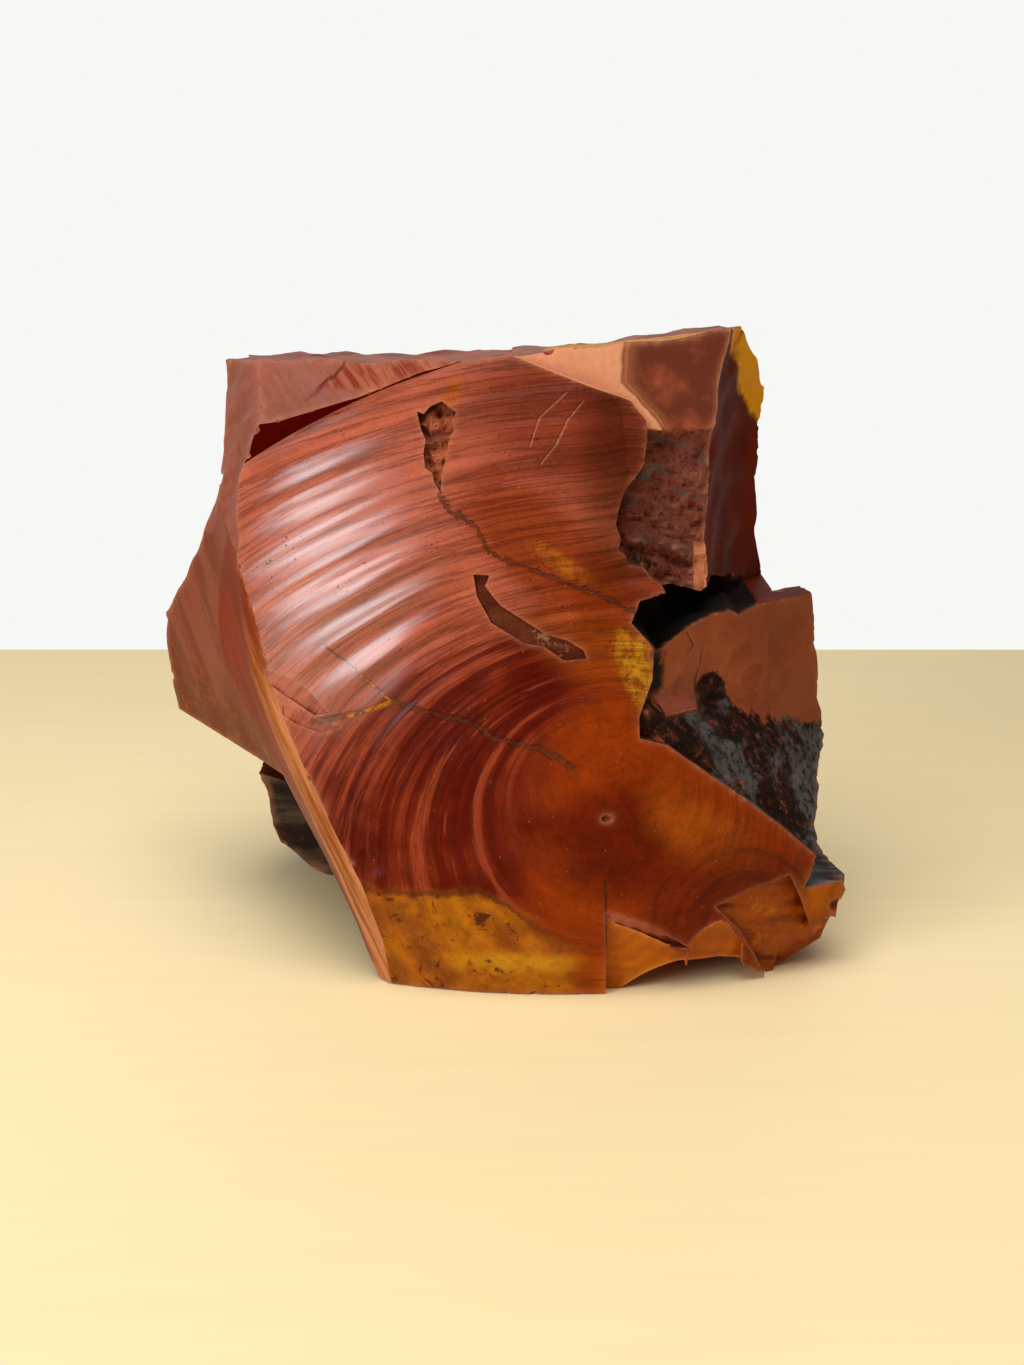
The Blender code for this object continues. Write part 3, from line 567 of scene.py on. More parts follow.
def keep_side(bm, point, towards):
    """Cuts a closed shape with a plane, keeps the side that a vector points to and closes the cut."""
    cut = bmesh.ops.bisect_plane(
        bm,
        geom=bm.verts[:] + bm.edges[:] + bm.faces[:],
        plane_co=point,
        plane_no=towards,
        clear_inner=True,
    )
    rim = [item for item in cut["geom_cut"] if isinstance(item, bmesh.types.BMEdge)]
    bmesh.ops.edgenet_fill(bm, edges=rim)


def break_frame(corners):
    """Centre, turn and reach of a break through three corners. Its own Z looks out of the stone."""
    a, b, c = (Vector(CORNERS[name]) for name in corners)
    centre = (a + b + c) / 3.0
    outward = (b - a).cross(c - a).normalized()
    if outward.dot(centre - Vector((0.0, 0.0, 0.5 * STONE_HEIGHT))) < 0.0:
        outward.negate()
    along = (b - a).normalized()
    across = outward.cross(along)
    reach = sum((corner - centre).length for corner in (a, b, c)) / 3.0
    return centre, Matrix((along, across, outward)).transposed(), reach


def outside(corners):
    """The side of the plane through three corners that faces out of the stone."""
    centre, turn, _ = break_frame(corners)
    return centre, turn.col[2].copy()


def side_break(name, finish, relief, corners, hollow, keep):
    """A broken side: a slab whose inner face is a shallow dish with ripples, lumps and grain."""
    centre, turn, reach = break_frame(corners)
    half = 0.5 * SLAB_WIDTH
    blow = SIDE_BLOW * reach

    def fill(bm):
        steps = round(SLAB_WIDTH / SIDE_CELL)
        bmesh.ops.create_grid(bm, x_segments=steps, y_segments=steps, size=half)
        for vert in bm.verts:
            u, v = vert.co.x, vert.co.y
            spot = Vector((u, v, 0.0))
            dish = hollow * max(SIDE_DISH_FLOOR, 1.0 - (u * u + v * v) / reach**2)
            ring = (Vector((u, v)) - blow).length
            ripples = SIDE_RIPPLE_HEIGHT * math.sin(math.tau * ring / SIDE_RIPPLE_LENGTH)
            place = Vector((ring * SIDE_RING_SCALE, u * RING_SLOWNESS, v * RING_SLOWNESS))
            ripples += SIDE_RING_HEIGHT * noise.noise(place + centre)
            lumps = SIDE_LUMPS * noise.noise(spot * SIDE_LUMP_SCALE + centre)
            lumps += relief * 0.4 * noise.noise(spot * 0.25 + centre)
            lumps += relief * 0.3 * noise.fractal(spot * 0.6 + centre, 1.0, 2.0, 3)
            vert.co.z = -dish + ripples + lumps
        thicken(bm, Vector((0.0, 0.0, SLAB_REACH)))
        bmesh.ops.rotate(bm, cent=Vector(), matrix=turn, verts=bm.verts[:])
        bmesh.ops.translate(bm, vec=centre, verts=bm.verts[:])
        for point, towards in keep:
            keep_side(bm, Vector(point), Vector(towards))

    return new_object(name, fill, finish)


def wedge(name, finish, keep):
    """A recess between flat breaks: a block cut down to what lies on the given side of each plane."""

    def fill(bm):
        bmesh.ops.create_cube(bm, size=2.0 * SLAB_WIDTH)
        for point, towards in keep:
            keep_side(bm, Vector(point), Vector(towards))

    return new_object(name, fill, finish)


def front_break(finish, painted_shade_undercut_finish):
    """The rippled front: a slab in front of the stone whose back is the front break."""

    def fill(bm):
        bmesh.ops.create_grid(
            bm,
            x_segments=round(FRONT_WIDTH / FRONT_CELL),
            y_segments=round(FRONT_HEIGHT / FRONT_CELL),
            size=0.5,
        )
        for vert in bm.verts:
            x = vert.co.x * FRONT_WIDTH
            z = vert.co.y * FRONT_HEIGHT + 0.5 * STONE_HEIGHT
            vert.co = (x, front_depth(x, z), z)
        thicken(bm, Vector((0.0, -SLAB_REACH, 0.0)))
        keep_side(bm, Vector((SHELF_X, SHELF_Y, SHELF_Z)), UNDERCUT_OUTWARD)
        bm.normal_update()
        across = UNDERCUT_OUTWARD.normalized()
        # Faces cut along the undercut take the second finish, which is painted as the shade under the shelf.
        for face in bm.faces:
            face.material_index = 1 if abs(face.normal.dot(across)) > 0.9999 else 0

    return new_object("front_break", fill, finish, painted_shade_undercut_finish)


def pocket(name, finish, outline, floor, cell):
    """A recess with upright walls along an outline in x and z, and a floor given as a depth in y."""
    xs = [x for x, z in outline]
    zs = [z for x, z in outline]
    width, height = max(xs) - min(xs) + 2.0 * cell, max(zs) - min(zs) + 2.0 * cell
    middle_x, middle_z = 0.5 * (max(xs) + min(xs)), 0.5 * (max(zs) + min(zs))

    def fill_sheet(bm):
        bmesh.ops.create_grid(
            bm, x_segments=round(width / cell), y_segments=round(height / cell), size=0.5
        )
        for vert in bm.verts:
            x, z = vert.co.x * width + middle_x, vert.co.y * height + middle_z
            vert.co = (x, floor(x, z), z)
        thicken(bm, Vector((0.0, -STONE_DEPTH, 0.0)))

    def fill_prism(bm):
        ring = [bm.verts.new((x, -1.5 * STONE_DEPTH, z)) for x, z in outline]
        face = bm.faces.new(ring)
        drawn = bmesh.ops.extrude_face_region(bm, geom=[face])
        verts = [item for item in drawn["geom"] if isinstance(item, bmesh.types.BMVert)]
        bmesh.ops.translate(bm, vec=Vector((0.0, 3.0 * STONE_DEPTH, 0.0)), verts=verts)
        bmesh.ops.triangulate(bm, faces=bm.faces[:])

    sheet = new_object(name, fill_sheet, finish)
    prism = new_object(name + HELPER_ENDING, fill_prism, finish)
    take(sheet, prism, "INTERSECT")
    return sheet


def scoop(name, finish, centre, radii):
    """A flake scar: a stretched ball that is taken out of the stone."""

    def fill(bm):
        bmesh.ops.create_icosphere(bm, subdivisions=6 if max(radii) > BALL_LARGE else 4, radius=1.0)
        for vert in bm.verts:
            vert.co *= 1.0 + BALL_UNEVENNESS * noise.noise(vert.co * 3.0 + SEED_OFFSET)
        bmesh.ops.scale(bm, vec=radii, verts=bm.verts[:])
        bmesh.ops.translate(bm, vec=centre, verts=bm.verts[:])

    return new_object(name, fill, finish)


def facet(name, finish, lies_on, start, right, down, outline):
    """A flake scar with straight sides, deeper to the right and down."""
    shape = BREAKS[lies_on][0]
    first_x, first_z = outline[0]

    def floor(x, z):
        across, fall = x - first_x, first_z - z
        waves = math.sin(math.tau * math.hypot(across, fall) / FACET_WAVE_LENGTH)
        return shape(x, z) + start + right * across + down * fall + FACET_WAVE_HEIGHT * waves

    return pocket(name, finish, outline, floor, WALL_CELL)


def dent(name, finish, lies_on, middle, radii, sink):
    """A round flake scar: a stretched ball that sinks a little way into a break."""
    shape, outward = BREAKS[lies_on]
    x, z = middle
    place = Vector((x, shape(x, z), z))
    return scoop(name, finish, place + outward * (radii[1] - sink), radii)


def take(target, cutter, operation="DIFFERENCE"):
    """Cuts one shape with another, which leaves its finish on the faces that it cuts."""
    cut = target.modifiers.new(cutter.name, "BOOLEAN")
    cut.operation = operation
    cut.object = cutter
    cut.solver = "MANIFOLD"
    cut.material_mode = "TRANSFER"


def worked(made):
    """Gives the object its mesh with the cuts done, and takes its modifiers off."""
    depsgraph = bpy.context.evaluated_depsgraph_get()
    mesh = bpy.data.meshes.new_from_object(made.evaluated_get(depsgraph), depsgraph=depsgraph)
    made.modifiers.clear()
    made.data = mesh


def block(finish):
    """The lump before its breaks."""

    def fill(bm):
        bmesh.ops.create_cube(bm, size=1.0)
        bmesh.ops.scale(bm, vec=BLOCK_SIZE, verts=bm.verts[:])
        bmesh.ops.translate(bm, vec=(BLOCK_X, 0.0, 0.5 * BLOCK_SIZE[2]), verts=bm.verts[:])

    return new_object("mookaite_lump", fill, finish)


def breaks(finishes):
    """Every break in the order in which it is taken off the lump."""
    made = []
    for name, finish, relief, corners, hollow, keep in SIDES:
        made.append(side_break(name, finishes[finish], relief, corners, hollow, keep))
    made.append(scoop("under_right", finishes["front"], UNDER_CENTRE, UNDER_RADII))
    hollow_sides = (outside(CRUST), outside(BEHIND_STRIP), FOOT_FRONT)
    made.append(wedge("left_hollow", finishes["foot"], hollow_sides))
    made.append(pocket("crack", finishes["crack"], CRACK_OUTLINE, crack_floor, CRACK_CELL))
    made.append(pocket("left_side", finishes["left"], LEFT_OUTLINE, left_floor, LEFT_CELL))
    made.append(pocket("wall", finishes["wall"], WALL_OUTLINE, wall_floor, WALL_CELL))
    made.append(pocket("step", finishes["block"], STEP_OUTLINE, step_floor, WALL_CELL))
    made.append(front_break(finishes["front"], finishes["undercut"]))
    for index, (finish, middle, outward, radius, sink) in enumerate(SCARS):
        centre = Vector(middle) + Vector(outward).normalized() * (radius - sink)
        made.append(scoop(f"scar_{index}", finishes[finish], centre, (radius, radius, radius)))
    return made


def small_scars(finishes):
    """The pit, the grainy patch, the flakes and the dents, which are cut after the chipped edges."""
    made = []
    pit_floor = rough_floor(PIT_DEPTH, PIT_GRAIN)
    made.append(pocket("pit", finishes["rough"], PIT_OUTLINE, pit_floor, ROUGH_CELL))
    patch_floor = rough_floor(PATCH_DEPTH, PATCH_GRAIN)
    made.append(pocket("grain", finishes["grain"], GRAIN_OUTLINE, patch_floor, ROUGH_CELL))
    for index, (finish, *shape) in enumerate(FACETS):
        made.append(facet(f"facet_{index}", finishes[finish], *shape))
    for index, (finish, *shape) in enumerate(DENTS):
        made.append(dent(f"dent_{index}", finishes[finish], *shape))
    return made


def sharp_edges(bm):
    """The edges where two breaks meet."""
    return [
        edge
        for edge in bm.edges
        if len(edge.link_faces) == 2
        and edge.calc_face_angle_signed(0.0) > SHARP_ANGLE
    ]


def chips(lump, finish):
    """Small bites out of the lump's sharp edges, which keep clear of each other."""
    dice = random.Random(CHIP_SEED)
    bm = bmesh.new()
    bm.from_mesh(lump.data)
    edges = [edge for edge in sharp_edges(bm) if edge.calc_face_angle_signed(0.0) > SQUARE_ANGLE]
    lengths = [edge.calc_length() for edge in edges]
    bites = []
    for edge in dice.choices(edges, weights=lengths, k=CHIP_TRIES):
        size = CHIP_SMALL + (CHIP_LARGE - CHIP_SMALL) * dice.random() ** 4
        place = edge.verts[0].co.lerp(edge.verts[1].co, dice.random())
        out = (edge.link_faces[0].normal + edge.link_faces[1].normal).normalized()
        centre = place + out * size * dice.uniform(0.45, 0.8)
        if all((centre - other).length > CHIP_SPACING * (size + reach) for other, reach in bites):
            bites.append((centre, size))
    bm.free()

    def fill_ball(ball_bm):
        bmesh.ops.create_icosphere(ball_bm, subdivisions=3, radius=1.0)

    ball = new_object("chip_ball", fill_ball, finish)

    def fill(bites_bm):
        for centre, size in bites:
            stretch = Vector([size * dice.uniform(0.75, 1.1) for _ in range(3)])
            made = ball.data.copy()
            made.transform(Matrix.LocRotScale(centre, None, stretch))
            bites_bm.from_mesh(made)
            bpy.data.meshes.remove(made)

    made = new_object("chips", fill, finish)
    bpy.data.objects.remove(ball)
    return made


def crushed_and_highlit_edges(bm):
    """The edges with a thin crushed rim and a painted highlight: sharp, and between two finishes or nearly
    square.
    """
    return [
        edge
        for edge in sharp_edges(bm)
        if edge.link_faces[0].material_index != edge.link_faces[1].material_index
        or edge.calc_face_angle_signed(0.0) > SQUARE_ANGLE
    ]


def paint_attributes(mesh):
    """Divides large faces, and stores how near each point is to an edge with a thin pale rim, which the
    finishes paint partly as a highlight.
    """
    bm = bmesh.new()
    bm.from_mesh(mesh)
    for _ in range(DIVIDE_ROUNDS):
        bmesh.ops.triangulate(bm, faces=[face for face in bm.faces if len(face.verts) > 4])
        coarse = [edge for edge in bm.edges if edge.calc_length() > COARSE_EDGE]
        bmesh.ops.subdivide_edges(bm, edges=coarse, cuts=1, use_grid_fill=True)
    bmesh.ops.triangulate(bm, faces=bm.faces[:])
    bm.to_mesh(mesh)
    edges = crushed_and_highlit_edges(bm)
    tree = kdtree.KDTree(len(edges))
    for index, edge in enumerate(edges):
        tree.insert(0.5 * (edge.verts[0].co + edge.verts[1].co), index)
    tree.balance()
    nearness = [math.exp(-tree.find(vert.co)[2] / RIM_HIGHLIGHT_REACH) for vert in bm.verts]
    bm.free()
    # The rim share: pale crushed edges, partly a painted highlight along the sharp edges.
    rim = mesh.attributes.new("rim", "FLOAT", "POINT")
    rim.data.foreach_set("value", nearness)


def close_seams(bm):
    """Shrinks to points the few tiny edges that the cuts leave with more or fewer than two faces."""
    for _ in range(MEND_ROUNDS):
        odd = [edge for edge in bm.edges if len(edge.link_faces) != 2]
        if not odd:
            break
        bmesh.ops.collapse(bm, edges=odd)


def build_stone():
    """The finished lump: cut, chipped, in metres and shaded smooth between its sharp edges."""
    colours = bpy.context.scene.mookaite_colours
    finishes = stone_finishes(colours)
    lump = block(finishes["mauve"])
    helpers = breaks(finishes)
    for cutter in helpers:
        take(lump, cutter)
    worked(lump)
    last = [chips(lump, finishes["chip"])] + small_scars(finishes)
    for cutter in last:
        take(lump, cutter)
    worked(lump)
    helpers += last
    outlines = [made for made in bpy.data.objects if made.name.endswith(HELPER_ENDING)]
    for helper in helpers + outlines:
        bpy.data.objects.remove(helper)
    mesh = lump.data
    paint_attributes(mesh)
    bm = bmesh.new()
    bm.from_mesh(mesh)
    bmesh.ops.remove_doubles(bm, verts=bm.verts[:], dist=MERGE_DISTANCE)
    bmesh.ops.scale(bm, vec=(MM, MM, MM), verts=bm.verts[:])
    close_seams(bm)
    for face in bm.faces:
        face.smooth = True
    bm.to_mesh(mesh)
    bm.free()
    mesh.set_sharp_from_angle(angle=SHARP_ANGLE)
    return lump


class Field:
    """A number that varies over a surface: a node socket that can be used in sums."""

    def __init__(self, finish, socket):
        self.finish, self.socket = finish, socket

    def _sum(self, operation, *terms):
        return self.finish.field("ShaderNodeMath", {"operation": operation}, dict(enumerate(terms)))

    def __add__(self, other):
        return self._sum("ADD", self, other)

    __radd__ = __add__

    def __sub__(self, other):
        return self._sum("SUBTRACT", self, other)

    def __rsub__(self, other):
        return self._sum("SUBTRACT", other, self)

    def __mul__(self, other):
        return self._sum("MULTIPLY", self, other)

    __rmul__ = __mul__

    def __truediv__(self, other):
        return self._sum("DIVIDE", self, other)

    def __pow__(self, other):
        return self._sum("POWER", self, other)

    def __abs__(self):
        return self._sum("ABSOLUTE", self)

    def most(self, other):
        return self._sum("MAXIMUM", self, other)

    def least(self, other):
        return self._sum("MINIMUM", self, other)

    def step(self, low, high):
        """0 where the number is at low, 1 where it is at high, and smooth between."""
        settings = {"interpolation_type": "SMOOTHSTEP", "clamp": True}
        flipped = low > high
        sockets = {"Value": self, "From Min": min(low, high), "From Max": max(low, high)}
        made = self.finish.field("ShaderNodeMapRange", settings, sockets)
        return 1.0 - made if flipped else made


class Finish:
    """One of the stone's finishes: a material with its nodes."""

    def __init__(self, name, roughness, specular=0.12, coat_roughness=0.2):
        self.material = bpy.data.materials.new(name)
        self.material.use_nodes = True
        self.tree = self.material.node_tree
        self.shader = self.tree.nodes["Principled BSDF"]
        self.shader.inputs["Roughness"].default_value = roughness
        self.shader.inputs["Specular IOR Level"].default_value = specular
        self.shader.inputs["Coat Roughness"].default_value = coat_roughness
        place = self.node("ShaderNodeTexCoord").outputs["Object"]
        settings = {"operation": "SCALE"}
        self.place = self.vector(settings, {0: place, "Scale": 1.0 / MM})
        split = self.node("ShaderNodeSeparateXYZ", {}, {0: self.place})
        self.x, self.y, self.z = (Field(self, split.outputs[i]) for i in range(3))
        # Nearness to a sharp edge, where the finishes mix in a pale rim that is partly a painted highlight.
        rim = self.node("ShaderNodeAttribute", {"attribute_name": "rim"})
        self.rim = Field(self, rim.outputs["Fac"])

    def node(self, kind, settings=None, sockets=None):
        """Any node: its settings are set first, and then the values or links of its sockets."""
        made = self.tree.nodes.new(kind)
        for key, value in (settings or {}).items():
            setattr(made, key, value)
        for key, value in (sockets or {}).items():
            self.feed(made.inputs[key], value)
        return made

    def feed(self, socket, value):
        """Gives a socket a link, a colour or a plain number."""
        if isinstance(value, Field):
            value = value.socket
        if isinstance(value, bpy.types.NodeSocket):
            self.tree.links.new(value, socket)
        elif socket.type == "RGBA":
            socket.default_value = (*tuple(value)[:3], 1.0)
        else:
            socket.default_value = value

    def field(self, kind, settings, sockets, output=0):
        """A node that gives one number."""
        return Field(self, self.node(kind, settings, sockets).outputs[output])

    def vector(self, settings, sockets):
        """A node that gives a place or a colour."""
        return self.node("ShaderNodeVectorMath", settings, sockets).outputs[0]

    def joined(self, x, y, z):
        """A place made of three numbers."""
        return self.node("ShaderNodeCombineXYZ", {}, {0: x, 1: y, 2: z}).outputs[0]

    def noise(self, scale, detail=3.0, rough=0.55, place=None, bend=0.0):
        """Noise from 0 to 1, whose scale is in features per millimetre."""
        sockets = {
            "Vector": self.place if place is None else place,
            "Scale": scale,
            "Detail": detail,
            "Roughness": rough,
            "Distortion": bend,
        }
        return self.field("ShaderNodeTexNoise", {}, sockets)

    def cells(self, scale):
        """How far each point is from the nearest of many scattered points."""
        return self.field("ShaderNodeTexVoronoi", {}, {"Vector": self.place, "Scale": scale})

    def mix(self, share, under, over):
        """A colour over another, by a share from 0 to 1."""
        settings = {"data_type": "RGBA", "clamp_factor": True}
        made = self.node("ShaderNodeMix", settings, {0: share, 6: under, 7: over})
        return made.outputs[2]

    def layers(self, colour, *coats):
        """Colours laid over a colour one after the other, each by its own share."""
        for share, over in coats:
            colour = self.mix(share, colour, over)
        return colour

    def tint(self, colour, amount):
        """A colour made lighter or darker by a number round 1."""
        return self.vector({"operation": "SCALE"}, {0: colour, "Scale": amount})

    def ring(self):
        """Which ring of the front break a point lies on, as ring_radius gives it."""
        across, down = self.x - RING_X, RING_Z - self.z
        spread = 1.0 - RING_SINK**2
        sunk = down * RING_SINK
        reach = sunk * sunk + (across * across + down * down) * spread
        return (reach**0.5 - sunk) / spread

    def streaks(self, ring, length, detail=3.0):
        """Noise that runs along the rings."""
        place = self.joined(ring / length, self.x * 0.035, self.z * 0.035)
        return self.noise(1.0, detail, 0.6, place)

    def strata(self):
        """Noise in thin layers through the stone."""
        place = self.joined(self.x * 0.05, self.y * 0.05, (self.z + self.y * 0.5) * 0.5)
        return self.noise(1.0, 5.0, 0.6, place)

    def clouds(self):
        """A share in soft clouds drawn out along the layers, for the sides."""
        return (self.noise(0.1, 4.0, 0.6) * 0.5 + self.strata() * 0.5).step(0.42, 0.58)

    def patch(self, middle, radii, turn, wobble, soft=0.25):
        """A share that is 1 inside a ragged ellipse on the front, given by x and z, and 0 outside."""
        cos, sin = math.cos(turn), math.sin(turn)
        across, up = self.x - middle[0], self.z - middle[1]
        along = (across * cos + up * sin) / radii[0]
        over = (up * cos - across * sin) / radii[1]
        reach = (along * along + over * over) ** 0.5 + wobble
        return reach.step(1.0 + soft, 1.0 - soft)

    def line(self, points, width, wobble):
        """A share that is 1 on a thin line through points on the front, given by x and z."""
        nearest = None
        for (ax, az), (bx, bz) in zip(points, points[1:]):
            run = (bx - ax) ** 2 + (bz - az) ** 2
            across, up = self.x - ax + wobble, self.z - az + wobble
            along = ((across * (bx - ax) + up * (bz - az)) / run).most(0.0).least(1.0)
            off_x, off_z = across - along * (bx - ax), up - along * (bz - az)
            reach = (off_x * off_x + off_z * off_z) ** 0.5
            nearest = reach if nearest is None else nearest.least(reach)
        return nearest.step(width, 0.3 * width)

    def finished(self, colour, bump=None, bump_height=0.1, roughness=None, coat=None):
        """Joins the colour and the relief to the shader, with the relief's height in millimetres."""
        self.feed(self.shader.inputs["Base Color"], colour)
        if roughness is not None:
            self.feed(self.shader.inputs["Roughness"], roughness)
        if coat is not None:
            self.feed(self.shader.inputs["Coat Weight"], coat)
        if bump is not None:
            sockets = {"Height": bump, "Distance": bump_height * MM, "Strength": 1.0}
            made = self.node("ShaderNodeBump", {}, sockets)
            self.feed(self.shader.inputs["Normal"], made.outputs[0])
        return self.material


class FrontFinish(Finish):
    """The main break: waxy jasper, mauve-brown at the top left, red-brown below, ochre at the foot."""

    def __init__(self, colours):
        super().__init__("front_jasper", 0.32, 0.06, 0.24)
        self.colours = colours
        self.rings = self.ring()
        self.cloud = self.noise(0.09, 4.0)
        self.fine = self.noise(1.1, 4.0, 0.65)
        self.runs = self.streaks(self.rings, 1.6, 5.0)
        self.bands = self.streaks(self.rings, 5.0, 3.0)
        self.hairs = abs(self.streaks(self.rings, 2.2, 7.0) - 0.5).step(0.035, 0.0)
        self.wobble = (self.cloud - 0.5) * 0.9 + (self.fine - 0.5) * 0.15
        drift = (self.cloud - 0.5) * 26.0 + (self.runs - 0.5) * 16.0
        self.far = (self.rings + drift).step(26.0, 54.0)
        self.ringed = (self.rings + (self.cloud - 0.5) * 14.0).step(5.0, 20.0)

    def ground(self):
        """Red-brown, mauve far up the rings, with dark and light waves in the middle."""
        c, x, z, ring, bands = self.colours, self.x, self.z, self.rings, self.bands
        top = (z + x * 0.25 + (self.cloud - 0.5) * 10.0).step(61.0, 72.0) * x.step(-10.0, 2.0)
        middle = ring.step(9.0, 18.0) * ring.step(48.0, 34.0) * x.step(14.0, 0.0)
        waves = self.streaks(ring, 2.0, 6.0)
        return self.layers(
            self.mix(self.cloud.step(0.35, 0.65), c.deep_red, c.red_brown),
            (self.far, c.mauve_brown),
            (self.far * bands.step(0.55, 0.75) * 0.35, c.pale_mauve),
            (top * 0.8, c.top_red),
            (self.far * bands.step(0.5, 0.38) * 0.3, c.dark_mauve),
            (middle * waves.step(0.5, 0.42) * 0.85, c.deep_red),
            (middle * waves.step(0.54, 0.62) * 0.7, c.wave_red),
        )

    def warm_right(self, colour):
        """Orange-brown at the right, with an olive lens above and a deep red patch below."""
        c, x, z, wobble = self.colours, self.x, self.z, self.wobble
        right = (x - z * 0.25 + (self.cloud - 0.5) * 12.0).step(-6.0, 4.0) * z.step(58.0, 46.0)
        run = wobble + (self.runs - 0.5) * 0.9
        spot = self.patch((6.0, 56.4), (3.6, 0.9), -0.55, run, 0.6)
        return self.layers(
            colour,
            (right * 0.9, c.orange_brown),
            (self.patch((9.0, 47.5), (6.0, 4.0), -0.6, wobble * 1.4, 0.6) * 0.45, c.warm_brown),
            (self.patch((4.0, 58.0), (11.5, 5.0), -0.65, run, 0.35) * 0.85, c.lens_brown),
            (spot * (0.1 + self.fine.step(0.35, 0.65) * 0.6), c.ochre),
            (self.patch((12.5, 23.0), (8.5, 7.0), 0.2, wobble * 1.4, 0.5) * 0.8, c.deep_red),
            (self.patch((24.0, 22.0), (9.0, 3.6), -0.75, wobble * 1.2, 0.5) * 0.75, c.warm_brown),
        )

    def ochre_foot(self, colour):
        """Clouded ochre with dark branching marks at the foot, and how much of it each point has."""
        c, x, z = self.colours, self.x, self.z
        edge = z + (self.cloud - 0.5) * 8.0 + (self.fine - 0.5) * 1.2 + (x + 4.0).most(0.0) * 0.42
        share = edge.step(15.6, 12.8) * (x + (self.cloud - 0.5) * 8.0).step(13.0, 6.0)
        dendrites = self.noise(0.32, 6.0, 0.7, bend=1.2)
        foot = self.layers(
            self.mix(self.noise(0.14, 4.0, 0.6).step(0.38, 0.62), c.ochre_brown, c.ochre),
            (self.patch((2.0, 4.8), (8.5, 1.6), 0.0, self.wobble * 1.6, 0.6) * 0.8, c.yellow),
            (self.noise(0.2, 5.0, 0.6).step(0.5, 0.62) * 0.6, c.foot_brown),
            (dendrites.step(0.56, 0.64) * 0.9, c.dendrite),
        )
        seam = abs(edge - 14.2).step(0.7, 0.1) * x.step(8.0, 0.0)
        return self.layers(colour, (share, foot), (seam * 0.55, c.dendrite)), share

    def lower_right(self, colour):
        """Glowing thin rims and the red lobe with its small arcs, and the relief of those arcs."""
        c, x, z, wobble = self.colours, self.x, self.z, self.wobble
        thin = (z - (x - 24.0).most(0.0) * 0.18).step(7.0, 1.0) * x.step(9.0, 13.0)
        rim_wobble = wobble + (self.fine - 0.5) * 0.8
        rim_patch = self.patch((15.0, 43.8), (1.9, 4.2), 0.35, rim_wobble, 0.5)
        mottled = self.mix(self.noise(0.5, 5.0, 0.7).step(0.42, 0.58), c.ochre_brown, c.yellow)
        reach = ((x - 28.8) ** 2.0 + (z - 10.6) ** 2.0) ** 0.5 + (self.cloud - 0.5) * 3.0
        arcs = self.noise(1.0, 5.0, 0.6, self.joined(reach * 0.9, x * 0.03, z * 0.03))
        share = reach.step(12.5, 10.0) * reach.step(3.0, 5.0) * (z - x * 0.4).step(-4.0, 0.0)
        colour = self.layers(
            colour,
            (thin * 0.7, c.glow),
            (rim_patch * 0.9, mottled),
            (self.patch((29.0, 10.0), (11.0, 9.0), -0.5, wobble, 0.5) * 0.85, c.blow_red),
            (self.patch((41.5, 10.8), (4.6, 3.2), -0.6, wobble * 1.2, 0.6) * 0.85, c.glow),
            (share * arcs.step(0.52, 0.62) * 0.5, c.orange_brown),
            (share * arcs.step(0.46, 0.38) * 0.5, c.dendrite),
        )
        return colour, share * arcs * 0.8

    def broken_lines(self, colour):
        """The grainy cracks with ochre in one of them, the crushed lines, and how far each goes."""
        c, ragged = self.colours, (self.fine - 0.5) * 1.6
        cracks = (
            (self.line(MAIN_CRACK, 0.5, ragged) * self.noise(0.5, 4.0).step(0.3, 0.5))
            .most(self.line(FEEDER_CRACK, 0.22, ragged * 0.4))
            .most(self.line(PIT_CRACK, 0.35, ragged))
            .most(self.line(FAULT, 0.2, ragged * 0.3))
        )
        gold = cracks * abs(self.x + 17.5).step(4.0, 2.0) * self.fine.step(0.4, 0.55)
        side_line = self.line(SIDE_CRACK, 0.2, ragged * 0.6)
        crushed = self.line(TOP_CRACK, 0.2, ragged * 0.6).most(side_line)
        above_pit = self.patch((-7.2, 75.8), (1.0, 2.0), -0.4, (self.fine - 0.5) * 2.0, 0.5)
        colour = self.layers(
            colour,
            (cracks * 0.75, c.crack_brown),
            (gold, c.ochre),
            (crushed * 0.5, c.pale_rim),
            (above_pit * 0.7, c.warm_brown),
        )
        return colour, cracks, crushed

    def shade(self):
        """How light each point is: streaks along the rings, and a mottle where they fade."""
        mottle = self.noise(0.3, 6.0, 0.7, bend=1.2)
        speckle = self.noise(3.2, 3.0, 0.7)
        even = 0.28 + 0.25 * self.fine + 0.6 * speckle + 0.25 * self.cloud + 0.3 * mottle
        even = even + (mottle - 0.5) * (1.0 - self.ringed) * 1.2
        return even + (self.runs - 0.5) * (0.4 + 0.6 * self.ringed)

    def made(self):
        """The whole finish, with its relief, its gloss and the sheen at the upper left."""
        c, fine, streaks = self.colours, self.fine, self.runs
        colour, ochre = self.ochre_foot(self.warm_right(self.ground()))
        colour, arcs = self.lower_right(colour)
        colour, cracks, crushed = self.broken_lines(colour)
        fleck = self.cells(1.1).step(0.2, 0.08) * self.noise(0.16).step(0.52, 0.66)
        colour = self.layers(
            colour,
            (fleck * 0.6, c.dendrite),
            (self.cells(0.45).step(0.085, 0.05) * 0.25, c.pale_rim),
            (self.hairs * self.ringed * 0.38 * (1.0 - ochre), c.dark_mauve),
        )
